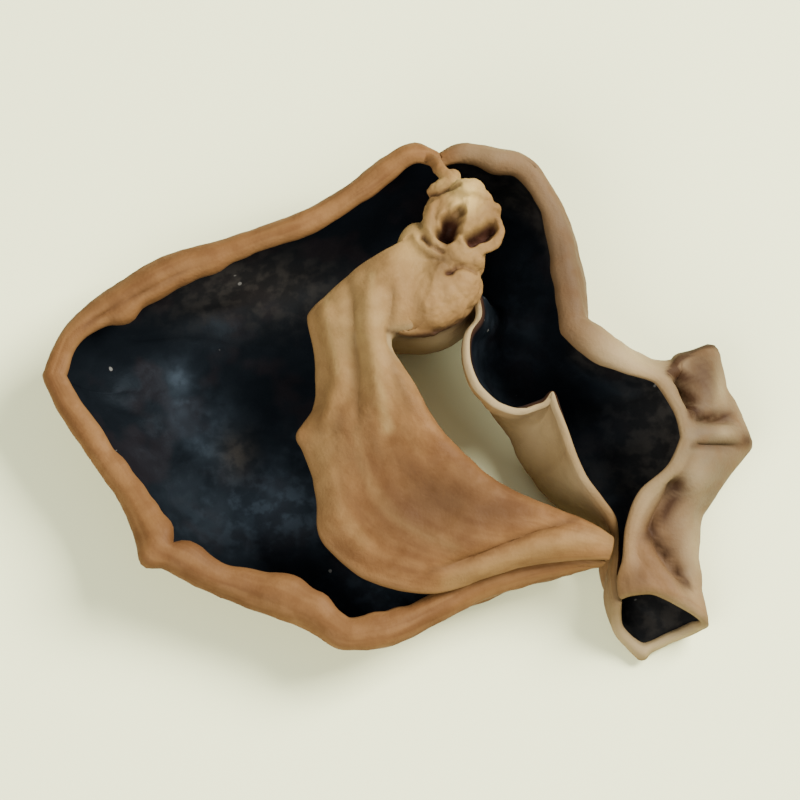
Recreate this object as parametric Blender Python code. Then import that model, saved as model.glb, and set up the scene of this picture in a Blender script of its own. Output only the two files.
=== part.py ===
"""One dried wood ear mushroom: a single curled sheet with the torn foot that it grew from.

The sheet is lofted through stations. They run from the tip of the broad lobe, round its rim, through the neck
under the foot, and down the narrow lobe to its open end. Each station is one cross-section of the sheet, from
its outer rim, down a wall, over the floor and up to the inner edge beside the gap. On the broad lobe that
inner edge folds over and comes back above the floor as a flap. The foot is a few lumps joined onto the fold.
Sizes are in millimetres until a mesh is made.
"""

import math
from dataclasses import dataclass

import bmesh
import bpy
import numpy as np
from mathutils import Vector, noise

MM = 0.001

# The outlines are drawn as seen by an eye that leans back this far from straight overhead.
LEAN = math.radians(18)

# The sheet thins to a share of its thickness at the tip, at the neck and along the narrow lobe's free edges.
SHEET_THICKNESS = 1.05
THIN_SHARE = 0.58

# The length of a face along the rim, and the number of faces in each gap of a cross-section.
ALONG_STEP = 2.9
ACROSS_PARTS = (1, 1, 1, 2, 2, 3, 3, 2, 2, 1, 2, 2, 1)

# The sheet wavers by this much, over about this distance. Each direction reads the noise from its own place.
WAVER = 0.35
WAVER_LENGTH = 7.0
WAVER_PLACES = (Vector((0.0, 0.0, 0.0)), Vector((31.7, 11.3, 5.9)), Vector((7.1, 43.9, 23.3)))

# Where the neck is and where the pouch starts, counted in stations from the tip.
NECK = 24.5
POUCH = 32.0

# How high above the lowest skin the underside is cut level, so that the ear rests on flat patches.
REST_CUT = 0.22

# The rim's roll, in degrees, where it is a thin free edge that only bends over.
BENT = 100.0

# How much of the narrow lobe's inner free edge curls over. A station's hook is its turn, in radians.
CURL = 1.1

# The outer wall's widest part and the corner below it, as shares of the way up and of the way across.
WIDEST_RISE = 0.45
CORNER_RISE = 0.08
CORNER_REACH = 0.12

# Under the flap the outer wall leans in from the rim, by shares of the way across.
LEANING_REACH = 0.12
LEANING_CORNER_REACH = 0.3

# The middle of the floor, the foot of the inner wall and the wall's middle.
FLOOR_REACH = 0.6
FOOT_RISE = 0.12
WALL_REACH = 0.35
WALL_RISE = 0.6

# The fold at the top of the inner wall, and how high the flap arches at each share of its width. A flap
# narrower than FULL_FLAP has a smaller fold.
FOLD_BACK = 0.9
FOLD_UP = 1.1
FLAP_ARCH = ((0.5, 1.6), (0.85, 0.9), (1.0, 0.0))
FULL_FLAP = 6.0

# The lengths of the bumps on a lump with the strength of each, and the ring that is raised round a pit: its
# height, its radius and its width, the last two as shares of the pit's radius.
BUMPS = ((2.6, 1.0), (1.2, 0.5))
RING_HEIGHT = 0.4
RING_RADIUS = 1.7
RING_WIDTH = 0.55

UP = np.array([0.0, 0.0, 1.0])


@dataclass
class Station:
    """One cross-section. Points are (across, up the drawing, height); the flap is None beside the narrow lobe.

    The foot of the inner wall and the widest part of the outer wall may be drawn too, as (across, up). Where
    section is given, it is the whole chain of points.
    """

    rim: tuple
    inner: tuple
    flap: tuple | None = None
    foot: tuple | None = None
    wide: tuple | None = None
    lip: float = 1.3
    roll: float = 200.0
    belly: float = 0.0
    floor: float = 1.0
    heel: float = 5.0
    sharp: float = 0.0
    hook: float = 1.8
    section: tuple | None = None


@dataclass
class Lump:
    """A rounded lump of the foot, with pits in its top. Each pit is (across, up the drawing, radius, depth)."""

    centre: tuple
    radii: tuple
    detail: int
    rough: float
    pits: tuple = ()


# The folded tip of the broad lobe, the tube before its end, and its open end, as whole chains.
TIP = (
    (22.45, -17.35, 9.2), (22.35, -17.55, 8.95), (22.3, -17.65, 8.65), (22.35, -17.6, 8.35),
    (22.45, -17.3, 8.1), (22.55, -16.9, 8.0), (22.8, -16.4, 8.0), (23.0, -15.9, 8.1), (23.2, -15.4, 8.4),
    (23.3, -15.0, 9.0), (23.3, -15.0, 9.6), (23.2, -15.5, 10.2), (23.1, -16.2, 10.4), (23.0, -16.9, 10.4),
)
THROAT = (
    (24.9, -19.4, 8.8), (25.1, -19.2, 9.1), (25.7, -19.1, 9.2), (26.6, -19.2, 8.9), (32.7, -22.0, 4.6),
    (31.4, -23.4, 1.4), (28.6, -23.9, 0.9), (25.4, -24.0, 1.0), (23.7, -21.6, 3.4), (23.6, -20.0, 5.4),
    (23.6, -19.7, 5.7), (23.65, -19.4, 6.0), (23.7, -19.15, 6.2), (23.75, -18.9, 6.4),
)
MOUTH = (
    (24.7, -21.3, 7.8), (25.2, -21.0, 8.2), (26.1, -20.8, 8.5), (27.6, -20.8, 8.5), (33.3, -23.9, 5.2),
    (32.2, -25.3, 2.0), (29.2, -26.2, 1.0), (26.5, -27.0, 0.9), (24.5, -24.6, 3.6), (23.8, -22.2, 6.0),
    (23.8, -21.9, 6.3), (23.85, -21.7, 6.5), (23.95, -21.5, 6.65), (24.1, -21.35, 6.8),
)

STATIONS = (
    # The broad lobe, from its tip along the front, round the left point and back to the neck.
    Station((22.4, -17.5, 8.3), (23.4, -15.0, 9.0), section=TIP),
    Station((20.0, -17.9, 7.7), (21.9, -14.2, 9.3), (20.3, -16.6, 10.7), roll=90, lip=0.8, floor=6.2, heel=0.8),
    Station((16.5, -18.8, 7.2), (19.6, -13.2, 9.6), (16.5, -16.9, 10.7), floor=4.4, heel=1.5, lip=1.1),
    Station((10.0, -20.6, 6.8), (17.0, -12.4, 9.8), (10.0, -18.3, 10.2), floor=2.8, heel=2.5, lip=1.25),
    Station((4.5, -23.4, 6.8), (14.0, -11.3, 10.4), (5.0, -20.2, 9.9), lip=1.4, floor=1.8, heel=3.5),
    Station((-1.0, -26.0, 7.0), (11.0, -9.7, 11.0), (0.5, -20.7, 9.6), lip=1.5, heel=4.5),
    Station((-6.5, -26.6, 7.5), (8.5, -7.8, 12.0), (-4.0, -19.2, 9.4), lip=1.5, sharp=0.3),
    Station((-11.0, -24.0, 7.8), (6.6, -6.1, 12.8), (-7.0, -17.0, 9.5), lip=1.9),
    Station((-17.0, -21.5, 8.0), (5.0, -4.5, 13.5), (-8.6, -14.8, 9.8), lip=1.5),
    Station((-22.5, -19.4, 8.5), (4.0, -3.2, 14.0), (-8.8, -11.5, 10.5), lip=1.3),
    Station((-27.3, -16.6, 9.0), (3.0, -1.8, 14.5), (-9.3, -8.7, 11.0), lip=2.2, sharp=0.6),
    Station((-29.5, -12.0, 9.0), (2.2, -0.5, 15.0), (-10.4, -6.0, 11.5), lip=1.5),
    Station((-33.5, -6.0, 8.7), (1.2, 1.2, 15.5), (-11.6, -3.4, 12.0), (-3.6, -1.2), lip=1.6, sharp=0.5),
    Station((-37.0, -0.8, 9.0), (0.4, 2.6, 16.0), (-9.3, -1.5, 12.5), (-4.2, 0.2), lip=1.3),
    Station((-38.5, 2.6, 9.3), (-0.4, 3.9, 16.2), (-8.9, 1.5, 13.0), (-4.6, 1.6), lip=1.15, sharp=0.8),
    Station((-36.2, 7.5, 9.6), (-1.1, 5.0, 16.5), (-9.2, 5.0, 13.5), (-4.6, 2.9), lip=1.1),
    Station((-33.2, 10.8, 10.0), (-1.5, 6.1, 17.0), (-9.8, 9.0, 14.5), (-4.2, 4.0), lip=1.2, sharp=0.7),
    Station((-27.0, 14.6, 10.6), (-1.5, 7.1, 17.2), (-7.6, 11.6, 15.5), (-3.4, 4.8), lip=1.6),
    Station((-20.0, 17.0, 11.2), (-0.7, 7.9, 17.2), (-4.6, 14.2, 16.8), (-2.2, 5.2), lip=1.3),
    Station((-13.0, 19.4, 12.0), (0.8, 8.3, 17.0), (-1.6, 16.2, 18.0), (-0.4, 5.2), lip=1.25),
    Station((-6.5, 22.3, 13.0), (2.4, 8.4, 16.4), (0.6, 17.5, 17.6), (1.6, 5.1), lip=1.2),
    Station((-2.0, 25.8, 14.0), (4.0, 8.6, 15.8), (3.0, 19.5, 18.0), (3.6, 5.2), lip=1.2),
    Station((1.6, 27.6, 14.8), (5.4, 9.2, 15.3), (5.0, 20.5, 18.0), (5.4, 5.8), lip=1.0),
    # The neck under the foot, where the rim dips between the lobes.
    Station((4.4, 26.3, 14.0), (6.6, 10.2, 14.8), (7.0, 17.6, 17.0), (7.0, 7.2), lip=0.9, roll=150, sharp=0.8),
    Station((7.0, 27.6, 14.0), (7.4, 11.2, 14.0), (7.7, 13.8, 15.2), (8.2, 8.8), lip=1.1),
    Station((10.5, 27.0, 14.0), (8.2, 11.8, 13.0), foot=(9.5, 9.8), lip=1.2, hook=0.9),
    # The narrow lobe: a channel that deepens to a pouch, then closes to a tube with an open end.
    Station((13.8, 26.0, 13.8), (8.6, 10.2, 12.0), foot=(10.6, 9.4), lip=1.15, hook=0.4),
    Station((16.6, 22.5, 13.4), (8.5, 8.4, 11.5), foot=(10.9, 8.0), lip=1.15, belly=0.3, hook=0.8),
    Station((18.2, 18.5, 13.1), (7.2, 6.6, 11.3), foot=(10.4, 6.2), lip=1.25, belly=0.4, hook=1.0),
    Station((19.1, 14.5, 12.8), (7.1, 3.9, 11.1), foot=(10.0, 4.2), lip=1.35, belly=0.5, hook=1.0),
    Station((19.5, 11.0, 12.6), (8.2, 1.2, 10.9), foot=(10.0, 1.9), lip=1.45, belly=0.5, hook=1.0),
    Station((19.8, 8.7, 12.4), (10.2, -0.8, 10.7), foot=(10.6, -0.2), lip=1.5, belly=0.5, sharp=0.7),
    Station((22.6, 6.8, 12.4), (12.4, -1.4, 10.6), foot=(11.4, -2.4), lip=1.8, belly=0.6),
    Station(
        (26.0, 3.9, 12.2), (14.8, -0.7, 10.6), foot=(12.8, -4.6), wide=(28.6, 3.4), lip=1.1, roll=150, hook=1.0
    ),
    Station(
        (29.0, 2.6, 12.0), (16.6, 0.0, 11.0), foot=(13.4, -6.2), wide=(34.4, 5.0), lip=0.8, roll=90, sharp=0.4,
        hook=0.3,
    ),
    Station(
        (31.2, -0.8, 12.0), (17.4, -3.0, 9.9), foot=(14.4, -7.8), wide=(35.6, 0.8), lip=0.6, roll=BENT, hook=1.0
    ),
    Station(
        (31.7, -4.2, 12.0), (18.2, -5.8, 9.6), foot=(15.6, -9.6), wide=(38.0, -4.6), lip=0.6, roll=BENT,
        sharp=0.8,
    ),
    Station((30.0, -7.4, 11.2), (19.5, -8.5, 9.2), foot=(17.4, -11.6), wide=(35.2, -8.6), lip=0.6, roll=BENT),
    Station(
        (26.6, -10.6, 10.2), (21.4, -10.9, 8.4), foot=(19.8, -13.2), wide=(33.2, -11.4), lip=0.6, roll=BENT
    ),
    Station(
        (25.4, -13.4, 9.6), (23.0, -13.2, 7.0), foot=(22.2, -15.6), wide=(32.0, -14.4), lip=0.5, roll=BENT
    ),
    Station(
        (25.1, -17.0, 9.0), (23.7, -16.6, 5.6), foot=(23.6, -19.6), wide=(32.0, -18.0), lip=0.5, roll=BENT,
        hook=0.5,
    ),
    Station((26.8, -19.2, 8.9), (23.6, -19.0, 7.3), section=THROAT),
    Station((27.6, -20.8, 8.5), (23.7, -21.6, 6.9), section=MOUTH),
)

LUMPS = (
    Lump((3.9, 11.9, 16.4), (5.3, 4.9, 4.0), 3, 0.5),
    Lump((1.4, 15.6, 17.2), (3.6, 4.4, 2.6), 3, 0.4),
    Lump((7.8, 12.1, 14.0), (1.9, 2.5, 2.1), 2, 0.1),
    Lump((6.9, 20.0, 18.4), (4.1, 4.9, 3.6), 4, 0.5, ((5.2, 19.2, 1.3, 2.0), (9.1, 18.4, 1.0, 1.4))),
)


def drawn(point):
    """The point at its height in space, from its place in the drawing."""
    across, up, height = point
    return np.array([across, (up - height * math.sin(LEAN)) / math.cos(LEAN), height])


def spline(points, samples, sharp=None):
    """A smooth curve through points, read at samples counted in points. sharp, from 0 to 1, makes corners."""
    points = np.asarray(points, float)
    steps = np.maximum(np.linalg.norm(np.diff(points, axis=0), axis=-1), 1e-6) ** 0.5
    slopes = np.diff(points, axis=0) / steps[:, None]
    tangents = np.empty_like(points)
    tangents[0], tangents[-1] = slopes[0], slopes[-1]
    both = (points[2:] - points[:-2]) / (steps[1:] + steps[:-1])[:, None]
    tangents[1:-1] = slopes[:-1] - both + slopes[1:]
    if sharp is not None:
        tangents *= 1 - np.asarray(sharp)[:, None]
    index = np.clip(np.floor(samples).astype(int), 0, len(points) - 2)
    t = (samples - index)[:, None]
    gap = steps[index][:, None]
    return (
        (2 * t**3 - 3 * t**2 + 1) * points[index]
        + (t**3 - 2 * t**2 + t) * gap * tangents[index]
        + (3 * t**2 - 2 * t**3) * points[index + 1]
        + (t**3 - t**2) * gap * tangents[index + 1]
    )


def level(vector):
    """The vector laid flat and made one long."""
    flat = np.array([vector[0], vector[1], 0.0])
    return flat / max(np.linalg.norm(flat), 1e-6)


def inward_directions(rims, inners):
    """At each station, the level direction that points to the inside, nearly square to the rim."""
    found = []
    for i, (rim, inner) in enumerate(zip(rims, inners)):
        along = rims[min(i + 1, len(rims) - 1)] - rims[max(i - 1, 0)]
        square = level([-along[1], along[0]])
        across = level(inner - rim)
        if square @ across < 0:
            square = -square
        found.append(level(square + 0.5 * across))
    return found


def raised(point, share, floor, top):
    """The point moved to this share of the way from the floor to the top."""
    return np.array([point[0], point[1], floor + share * (top - floor)])


def lip_points(station, rim, inward):
    """The rolled rim, from its free end to the rim's outermost point."""
    points = []
    for share in (1, 2 / 3, 1 / 3):
        angle = math.radians(station.roll * share)
        points.append(rim + station.lip * ((1 - math.cos(angle)) * inward + math.sin(angle) * UP))
    return [*points, rim]


def wall_points(station, rim, inner, foot, inward):
    """The outer wall, the floor and the inner wall up to the inner edge."""
    floor, height, crest = station.floor, rim[2], inner[2]
    reach = foot - rim
    if station.wide is not None:
        widest = drawn((*station.wide, floor + WIDEST_RISE * (height - floor)))
        corner = widest + reach * CORNER_REACH
    elif station.flap is not None:
        widest = rim + inward * LEANING_REACH * np.linalg.norm(reach[:2])
        corner = rim + reach * LEANING_CORNER_REACH
    else:
        widest = rim - inward * station.belly
        corner = widest + reach * CORNER_REACH
    return [
        raised(widest, WIDEST_RISE, floor, height),
        raised(corner, CORNER_RISE, floor, height),
        raised(rim + reach * FLOOR_REACH, 0.0, floor, height),
        raised(foot, FOOT_RISE, floor, crest),
        raised(inner + (foot - inner) * WALL_REACH, WALL_RISE, floor, crest),
        inner,
    ]


def flap_points(inner, flap):
    """The fold at the top of the inner wall, and the flap that comes back over the floor."""
    width = flap - inner
    fold = min(1.0, np.linalg.norm(width) / FULL_FLAP)
    points = [inner + fold * (level(width) * FOLD_BACK + UP * FOLD_UP)]
    return points + [inner + width * share + fold * UP * rise for share, rise in FLAP_ARCH]


def hook_points(station, inner, reach):
    """The inner free edge of the narrow lobe, which bends back over the wall."""
    points = []
    for share in (0.25, 0.5, 0.75, 1.0):
        angle = share * station.hook
        turn = math.sin(angle) * UP - (1 - math.cos(angle)) * level(reach)
        points.append(inner + CURL / station.hook * turn)
    return points


def cross_section(station, rim, inner, inward):
    """The station's cross-section as a chain of points, from the free end of the lip to the inner free edge."""
    if station.section is not None:
        return [drawn(point) for point in station.section]
    if station.foot is not None:
        foot = drawn((*station.foot, station.floor))
    else:
        foot = inner - level(inner - rim) * station.heel
    chain = lip_points(station, rim, inward) + wall_points(station, rim, inner, foot, inward)
    if station.flap is not None:
        return chain + flap_points(inner, drawn(station.flap))
    return chain + hook_points(station, inner, foot - rim)


def samples_of(parts):
    """Places along a chain, counted in points, with each gap cut into its number of parts."""
    found = [k + i / n for k, n in enumerate(parts) for i in range(n)]
    return np.array([*found, len(parts)])


def wavered(point):
    """The point moved a little, the way a sheet dries out of true."""
    place = Vector(point) / WAVER_LENGTH
    return point + WAVER * np.array([noise.noise(place + start) for start in WAVER_PLACES])


def sheet_points():
    """The middle surface of the sheet as a grid of points, and each row's and column's place."""
    rims = [drawn(s.rim) for s in STATIONS]
    inners = [drawn(s.inner) for s in STATIONS]
    inwards = inward_directions(rims, inners)
    chains = np.array([cross_section(*each) for each in zip(STATIONS, rims, inners, inwards)])
    sharp = [s.sharp for s in STATIONS]
    gaps = [max(1, round(float(np.linalg.norm(b - a)) / ALONG_STEP)) for a, b in zip(rims, rims[1:])]
    along = samples_of(gaps)
    lines = np.stack([spline(chains[:, k], along, sharp) for k in range(chains.shape[1])], axis=1)
    across = samples_of(ACROSS_PARTS)
    points = np.stack([spline(row, across) for row in lines])
    points = np.array([[wavered(point) for point in row] for row in points])
    return points, along, across


def thickness_share(place, across):
    """The sheet's thickness as a share of its full thickness, at this station and this point of its section."""
    last = len(ACROSS_PARTS)
    inner_edge = max(0.0, 1 - (last - across) / 2)
    fold = max(0.0, 1 - (last - across) / 4)
    outer_edge = max(0.0, 1 - across / 2)
    near_tip = max(0.0, 1 - place / 2)
    near_neck = max(0.0, 1 - abs(place - NECK) / 2)
    narrow = min(max((place - NECK) / 2, 0.0), 1.0)
    pouch = min(max((place - POUCH) / 2, 0.0), 1.0)
    thinning = max(near_tip, narrow * inner_edge, pouch * outer_edge, near_neck * fold)
    return 1 - (1 - THIN_SHARE) * thinning


def sheet_object(name):
    """The sheet as a quad mesh, thickened by a modifier."""
    points, along, across = sheet_points()
    rows, columns = points.shape[:2]
    grid = bmesh.new()
    bmesh.ops.create_grid(grid, x_segments=columns - 1, y_segments=rows - 1, size=0.5)
    mesh = bpy.data.meshes.new(name)
    grid.to_mesh(mesh)
    grid.free()
    sheet = bpy.data.objects.new(name, mesh)
    bpy.context.scene.collection.objects.link(sheet)
    group = sheet.vertex_groups.new(name="thickness")
    for vertex in mesh.vertices:
        j = round((vertex.co.x + 0.5) * (columns - 1))
        i = round((vertex.co.y + 0.5) * (rows - 1))
        vertex.co = Vector(points[i, j] * MM)
        group.add([vertex.index], thickness_share(along[i], across[j]), "REPLACE")
    for polygon in mesh.polygons:
        polygon.use_smooth = True
    solid = sheet.modifiers.new("thickness", "SOLIDIFY")
    solid.thickness = SHEET_THICKNESS * MM
    solid.offset = 0
    solid.vertex_group = group.name
    return sheet


def lump_object(name, lump):
    """One lump of the foot: a ball stretched, roughened and pitted."""
    bpy.ops.mesh.primitive_ico_sphere_add(subdivisions=lump.detail, radius=1.0)
    found = bpy.context.object
    found.name = name
    centre = drawn(lump.centre)
    crown = lump.centre[2] + lump.radii[2]
    for vertex in found.data.vertices:
        out = np.array(vertex.co)
        point = centre + out * np.array(lump.radii)
        bump = sum(strength * noise.noise(Vector(point) / length) for length, strength in BUMPS)
        point = point + out * lump.rough * bump
        for across, up, radius, depth in lump.pits:
            away = np.linalg.norm(point[:2] - drawn((across, up, crown))[:2]) / radius
            ring = RING_HEIGHT * math.exp(-(((away - RING_RADIUS) / RING_WIDTH) ** 2))
            point[2] += (ring - depth * math.exp(-(away**2))) * max(out[2], 0.0)
        vertex.co = Vector(point * MM)
    return found


def extents(thing):
    """The lowest and highest corner of the object as its modifiers leave it, in metres."""
    shown = thing.evaluated_get(bpy.context.evaluated_depsgraph_get())
    corners = np.array([thing.matrix_world @ Vector(corner) for corner in shown.bound_box])
    return corners.min(axis=0), corners.max(axis=0)


def boolean(thing, tool, operation):
    """Joins or cuts the object with a tool that isn't shown. The default solver drops this sheet."""
    tool.hide_render = True
    tool.display_type = "WIRE"
    added = thing.modifiers.new(tool.name, "BOOLEAN")
    added.operation = operation
    added.solver = "MANIFOLD"
    added.object = tool


def slab_below(name, low, high, top):
    """A slab under the whole object, with its upper face at this height."""
    deep = 5 * MM
    size = (high[0] - low[0] + deep, high[1] - low[1] + deep, deep)
    middle = ((low[0] + high[0]) / 2, (low[1] + high[1]) / 2, top - deep / 2)
    bpy.ops.mesh.primitive_cube_add(size=1.0, location=middle)
    slab = bpy.context.object
    slab.name = name
    for vertex in slab.data.vertices:
        vertex.co = Vector([c * s for c, s in zip(vertex.co, size)])
    return slab


def sheet_material():
    """Tan, dry and dull, as the outer side of the sheet."""
    material = bpy.data.materials.new("sheet")
    material.use_nodes = True
    shader = material.node_tree.nodes["Principled BSDF"]
    shader.inputs["Base Color"].default_value = (0.36, 0.22, 0.12, 1.0)
    shader.inputs["Roughness"].default_value = 0.6
    shader.inputs["Metallic"].default_value = 0.0
    return material


def main():
    """Builds the ear and places it: centred, and with its flat patches at height zero."""
    for old in list(bpy.data.objects):
        bpy.data.objects.remove(old)
    sheet = sheet_object("wood_ear")
    sheet.data.materials.append(sheet_material())
    tools = [lump_object(f"foot_{i}", lump) for i, lump in enumerate(LUMPS)]
    for tool in tools:
        boolean(sheet, tool, "UNION")
    low, high = extents(sheet)
    cut = low[2] + REST_CUT * MM
    slab = slab_below("rest", low, high, cut)
    boolean(sheet, slab, "DIFFERENCE")
    placing = Vector((-(low[0] + high[0]) / 2, -(low[1] + high[1]) / 2, -cut))
    for thing in (sheet, slab, *tools):
        thing.location += placing


if __name__ == "__main__":
    main()
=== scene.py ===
"""Dresses one dried wood ear: a curled sheet, dark inside and tan outside, and the torn foot of the sheet.

The sheet is lofted through nearly the same stations as the solid, on a much finer grid, and gets the ribs,
creases and wrinkles of the real one. The foot is modelled as lumps and curls that are merged into one skin.
Lengths are in millimetres until a mesh is made.
"""

import logging
import math
from dataclasses import dataclass, replace
from enum import Enum

import bpy
import numpy as np
from bpy.types import Material, Mesh, Node, NodeTree, Object
from bpy.types import NodeSocket as Socket
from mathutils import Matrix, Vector, noise
from mathutils.bvhtree import BVHTree

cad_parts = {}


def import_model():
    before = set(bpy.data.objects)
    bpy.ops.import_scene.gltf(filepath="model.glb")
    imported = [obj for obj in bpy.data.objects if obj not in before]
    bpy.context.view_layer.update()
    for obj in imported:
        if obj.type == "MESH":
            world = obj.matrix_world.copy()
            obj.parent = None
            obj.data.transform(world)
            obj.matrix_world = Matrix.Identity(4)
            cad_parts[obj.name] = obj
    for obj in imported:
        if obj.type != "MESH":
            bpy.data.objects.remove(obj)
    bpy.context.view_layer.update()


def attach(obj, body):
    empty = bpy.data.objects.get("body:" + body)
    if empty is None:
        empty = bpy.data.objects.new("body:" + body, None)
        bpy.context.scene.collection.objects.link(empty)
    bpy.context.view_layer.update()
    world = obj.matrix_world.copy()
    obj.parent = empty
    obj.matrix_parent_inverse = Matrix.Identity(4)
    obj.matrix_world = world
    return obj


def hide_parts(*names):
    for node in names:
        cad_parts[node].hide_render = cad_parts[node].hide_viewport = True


LOG = logging.getLogger("wood_ear")

MM = 0.001
NODE = "wood_ear"

# The outlines are drawn as seen by an eye that leans back this far from straight overhead. PLACED is where
# the drawing's origin lies in the frame.
LEAN = math.radians(18.0)
PLACED = np.array([0.3547, 2.9014, -0.3686])
UP = np.array([0.0, 0.0, 1.0])

# The least length that anything is divided by, and the least share of the wrinkles that is left at an edge.
TINY = 1e-6
CALMEST = 0.15

# The sockets of a Mix node that mixes colours: the factor and both colours, and the result.
MIX_INPUTS = (0, 6, 7)
MIX_RESULT = 2

# A place in the drawing as (across, up), or two limits; the same with a height; and places on the sheet.
Pair = tuple[float, float]
Point = tuple[float, float, float]
Array = np.ndarray
Places = np.ndarray | float


class Side(Enum):
    """The two skins of the sheet, by the slot that each takes on the mesh."""

    DARK = 0
    TAN = 1


@dataclass(frozen=True)
class Tone:
    """A colour as it looks on a screen, each part from 0 to 255."""

    red: int
    green: int
    blue: int

    def linear(self) -> tuple[float, float, float, float]:
        """The colour as a shader takes it."""
        parts = [part / 255 for part in (self.red, self.green, self.blue)]
        return (*[p / 12.92 if p <= 0.04045 else ((p + 0.055) / 1.055) ** 2.4 for p in parts], 1.0)


@dataclass(frozen=True)
class Station:
    """One cross-section of the sheet.

    Attributes:
        rim: The top of the outer wall, where the lip begins.
        inner: The top of the inner wall.
        flap: The flap's free edge, or None beside the narrow lobe.
        foot: The foot of the inner wall. Where it is None, heel places it.
        wide: The widest part of the outer wall. Where it is None, belly places it.
        lip: The width of the rolled lip.
        roll: How far the lip rolls over, in degrees, or BENT.
        belly: How far the outer wall bulges beyond the rim.
        floor: The height of the floor.
        heel: How far the inner wall's foot lies back towards the rim.
        sharp: How much of a corner the sheet makes here, from 0 to 1.
        hook: How far the inner wall's edge hooks over, in radians.
        section: The whole chain of points, where it isn't made from the rest.
    """

    rim: Point
    inner: Point
    flap: Point | None = None
    foot: Pair | None = None
    wide: Pair | None = None
    lip: float = 1.3
    roll: float = 200.0
    belly: float = 0.0
    floor: float = 1.0
    heel: float = 5.0
    sharp: float = 0.0
    hook: float = 1.8
    section: tuple[Point, ...] | None = None


@dataclass(frozen=True)
class Crease:
    """A ridge, or a valley where its height is below zero, along a line in the drawing.

    It lies on the part of the sheet between two places across its section and between two stations.
    """

    path: tuple[Pair, ...]
    height: float
    width: float
    across: Pair
    along: Pair


@dataclass(frozen=True)
class Pull:
    """A spot of the sheet that is drawn out: its centre, shift and reach, and limits as in Crease."""

    centre: Pair
    shift: Point
    reach: float
    across: Pair
    along: Pair


@dataclass(frozen=True)
class Stain:
    """A spot of colour: its centre, its radii, its strength, and its limits as in Crease."""

    centre: Pair
    radii: Pair
    strength: float
    across: Pair
    along: Pair

    def nearness(self, spots: Array) -> Array:
        """1 at the spot's centre, falling off with its radii."""
        away = np.linalg.norm((spots - np.array(self.centre)) / np.array(self.radii), axis=-1)
        return np.exp(-(away**2))


@dataclass(frozen=True)
class Stroke:
    """A line of colour: its path, its half width, its strength, and its limits as in Crease."""

    path: tuple[Pair, ...]
    width: float
    strength: float
    across: Pair
    along: Pair

    def nearness(self, spots: Array) -> Array:
        """1 on the line, falling off with its half width."""
        away, _ = near_line(spots, smooth_line(self.path, 4))
        return np.exp(-((away / self.width) ** 2))


@dataclass(frozen=True)
class Wave:
    """Smooth noise that lifts a skin: its height, the length of its ripples, and a seed for its pattern."""

    height: float
    length: float
    seed: float

    def over(self, points: Array) -> Array:
        """The lift at each point."""
        return self.height * ripple(points, self.length, self.seed)


@dataclass(frozen=True)
class Lump:
    """A rounded lump of the foot: its centre as (across, up the drawing, height), and its radii."""

    centre: Point
    radii: Point


@dataclass(frozen=True)
class Curl:
    """A rolled edge of torn skin on the foot: the line that it follows, as in Lump, and its thickness."""

    path: tuple[Point, ...]
    radius: float


@dataclass(frozen=True)
class Pit:
    """A hole or a slit sunk into the foot: its ends, its half width, its depth and how dark its painted shade
    is.
    """

    start: Pair
    end: Pair
    radius: float
    depth: float
    stain: float = 1.0


@dataclass(frozen=True)
class Lamp:
    """A square soft light that points at the ear: its place and size in metres, its power and its tone."""

    name: str
    place: Point
    size: float
    power: float
    tone: Tone = Tone(255, 252, 246)


# The folded tip of the broad lobe, the tube before its end, and its open end, as whole chains.
TIP = (
    (22.45, -17.35, 9.2), (22.35, -17.55, 8.95), (22.3, -17.65, 8.65), (22.35, -17.6, 8.35),
    (22.45, -17.3, 8.1), (22.55, -16.9, 8.0), (22.8, -16.4, 8.0), (23.0, -15.9, 8.1), (23.2, -15.4, 8.4),
    (23.3, -15.0, 9.0), (23.35, -15.1, 9.6), (23.25, -15.7, 9.9), (23.1, -16.4, 9.8), (22.8, -17.3, 9.3),
)
THROAT = (
    (24.0, -19.5, 8.3), (24.3, -19.25, 8.8), (25.2, -19.1, 9.1), (26.6, -19.2, 8.9), (32.7, -22.0, 4.6),
    (31.4, -23.4, 1.4), (28.6, -23.9, 0.9), (24.6, -24.0, 1.0), (22.7, -21.8, 3.2), (23.2, -20.0, 5.4),
    (23.4, -19.7, 5.7), (23.55, -19.4, 6.0), (23.65, -19.15, 6.2), (23.75, -18.9, 6.4),
)
MOUTH = (
    (24.1, -21.3, 7.5), (24.5, -20.9, 8.1), (25.6, -20.4, 8.6), (27.6, -20.3, 8.6), (33.1, -23.4, 5.2),
    (32.2, -24.6, 2.0), (29.2, -25.8, 1.0), (26.0, -27.0, 0.9), (23.7, -24.6, 3.2), (23.7, -22.2, 6.0),
    (23.8, -21.9, 6.3), (23.85, -21.7, 6.5), (23.95, -21.5, 6.65), (24.1, -21.35, 6.8),
)
# The open end's lip, which rolls up and back along the bottom.
LIP_OUT = (
    (24.15, -21.45, 7.4), (24.6, -21.05, 8.0), (25.7, -20.6, 8.5), (27.6, -20.5, 8.5), (33.3, -23.8, 5.2),
    (32.4, -24.8, 2.3), (29.3, -26.0, 1.5), (26.0, -27.3, 1.5), (23.7, -24.7, 3.5), (23.75, -22.35, 6.1),
    (23.85, -22.05, 6.4), (23.9, -21.85, 6.55), (24.0, -21.6, 6.7), (24.15, -21.45, 6.8),
)
LIP_TOP = (
    (24.2, -21.5, 7.3), (24.7, -21.15, 7.8), (25.8, -20.75, 8.2), (27.6, -20.7, 8.2), (33.1, -23.8, 5.1),
    (32.2, -24.6, 2.7), (29.3, -25.75, 2.0), (26.2, -26.9, 2.0), (24.0, -24.7, 3.7), (23.9, -22.4, 6.1),
    (23.95, -22.1, 6.35), (24.0, -21.9, 6.5), (24.05, -21.7, 6.6), (24.2, -21.55, 6.7),
)
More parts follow.
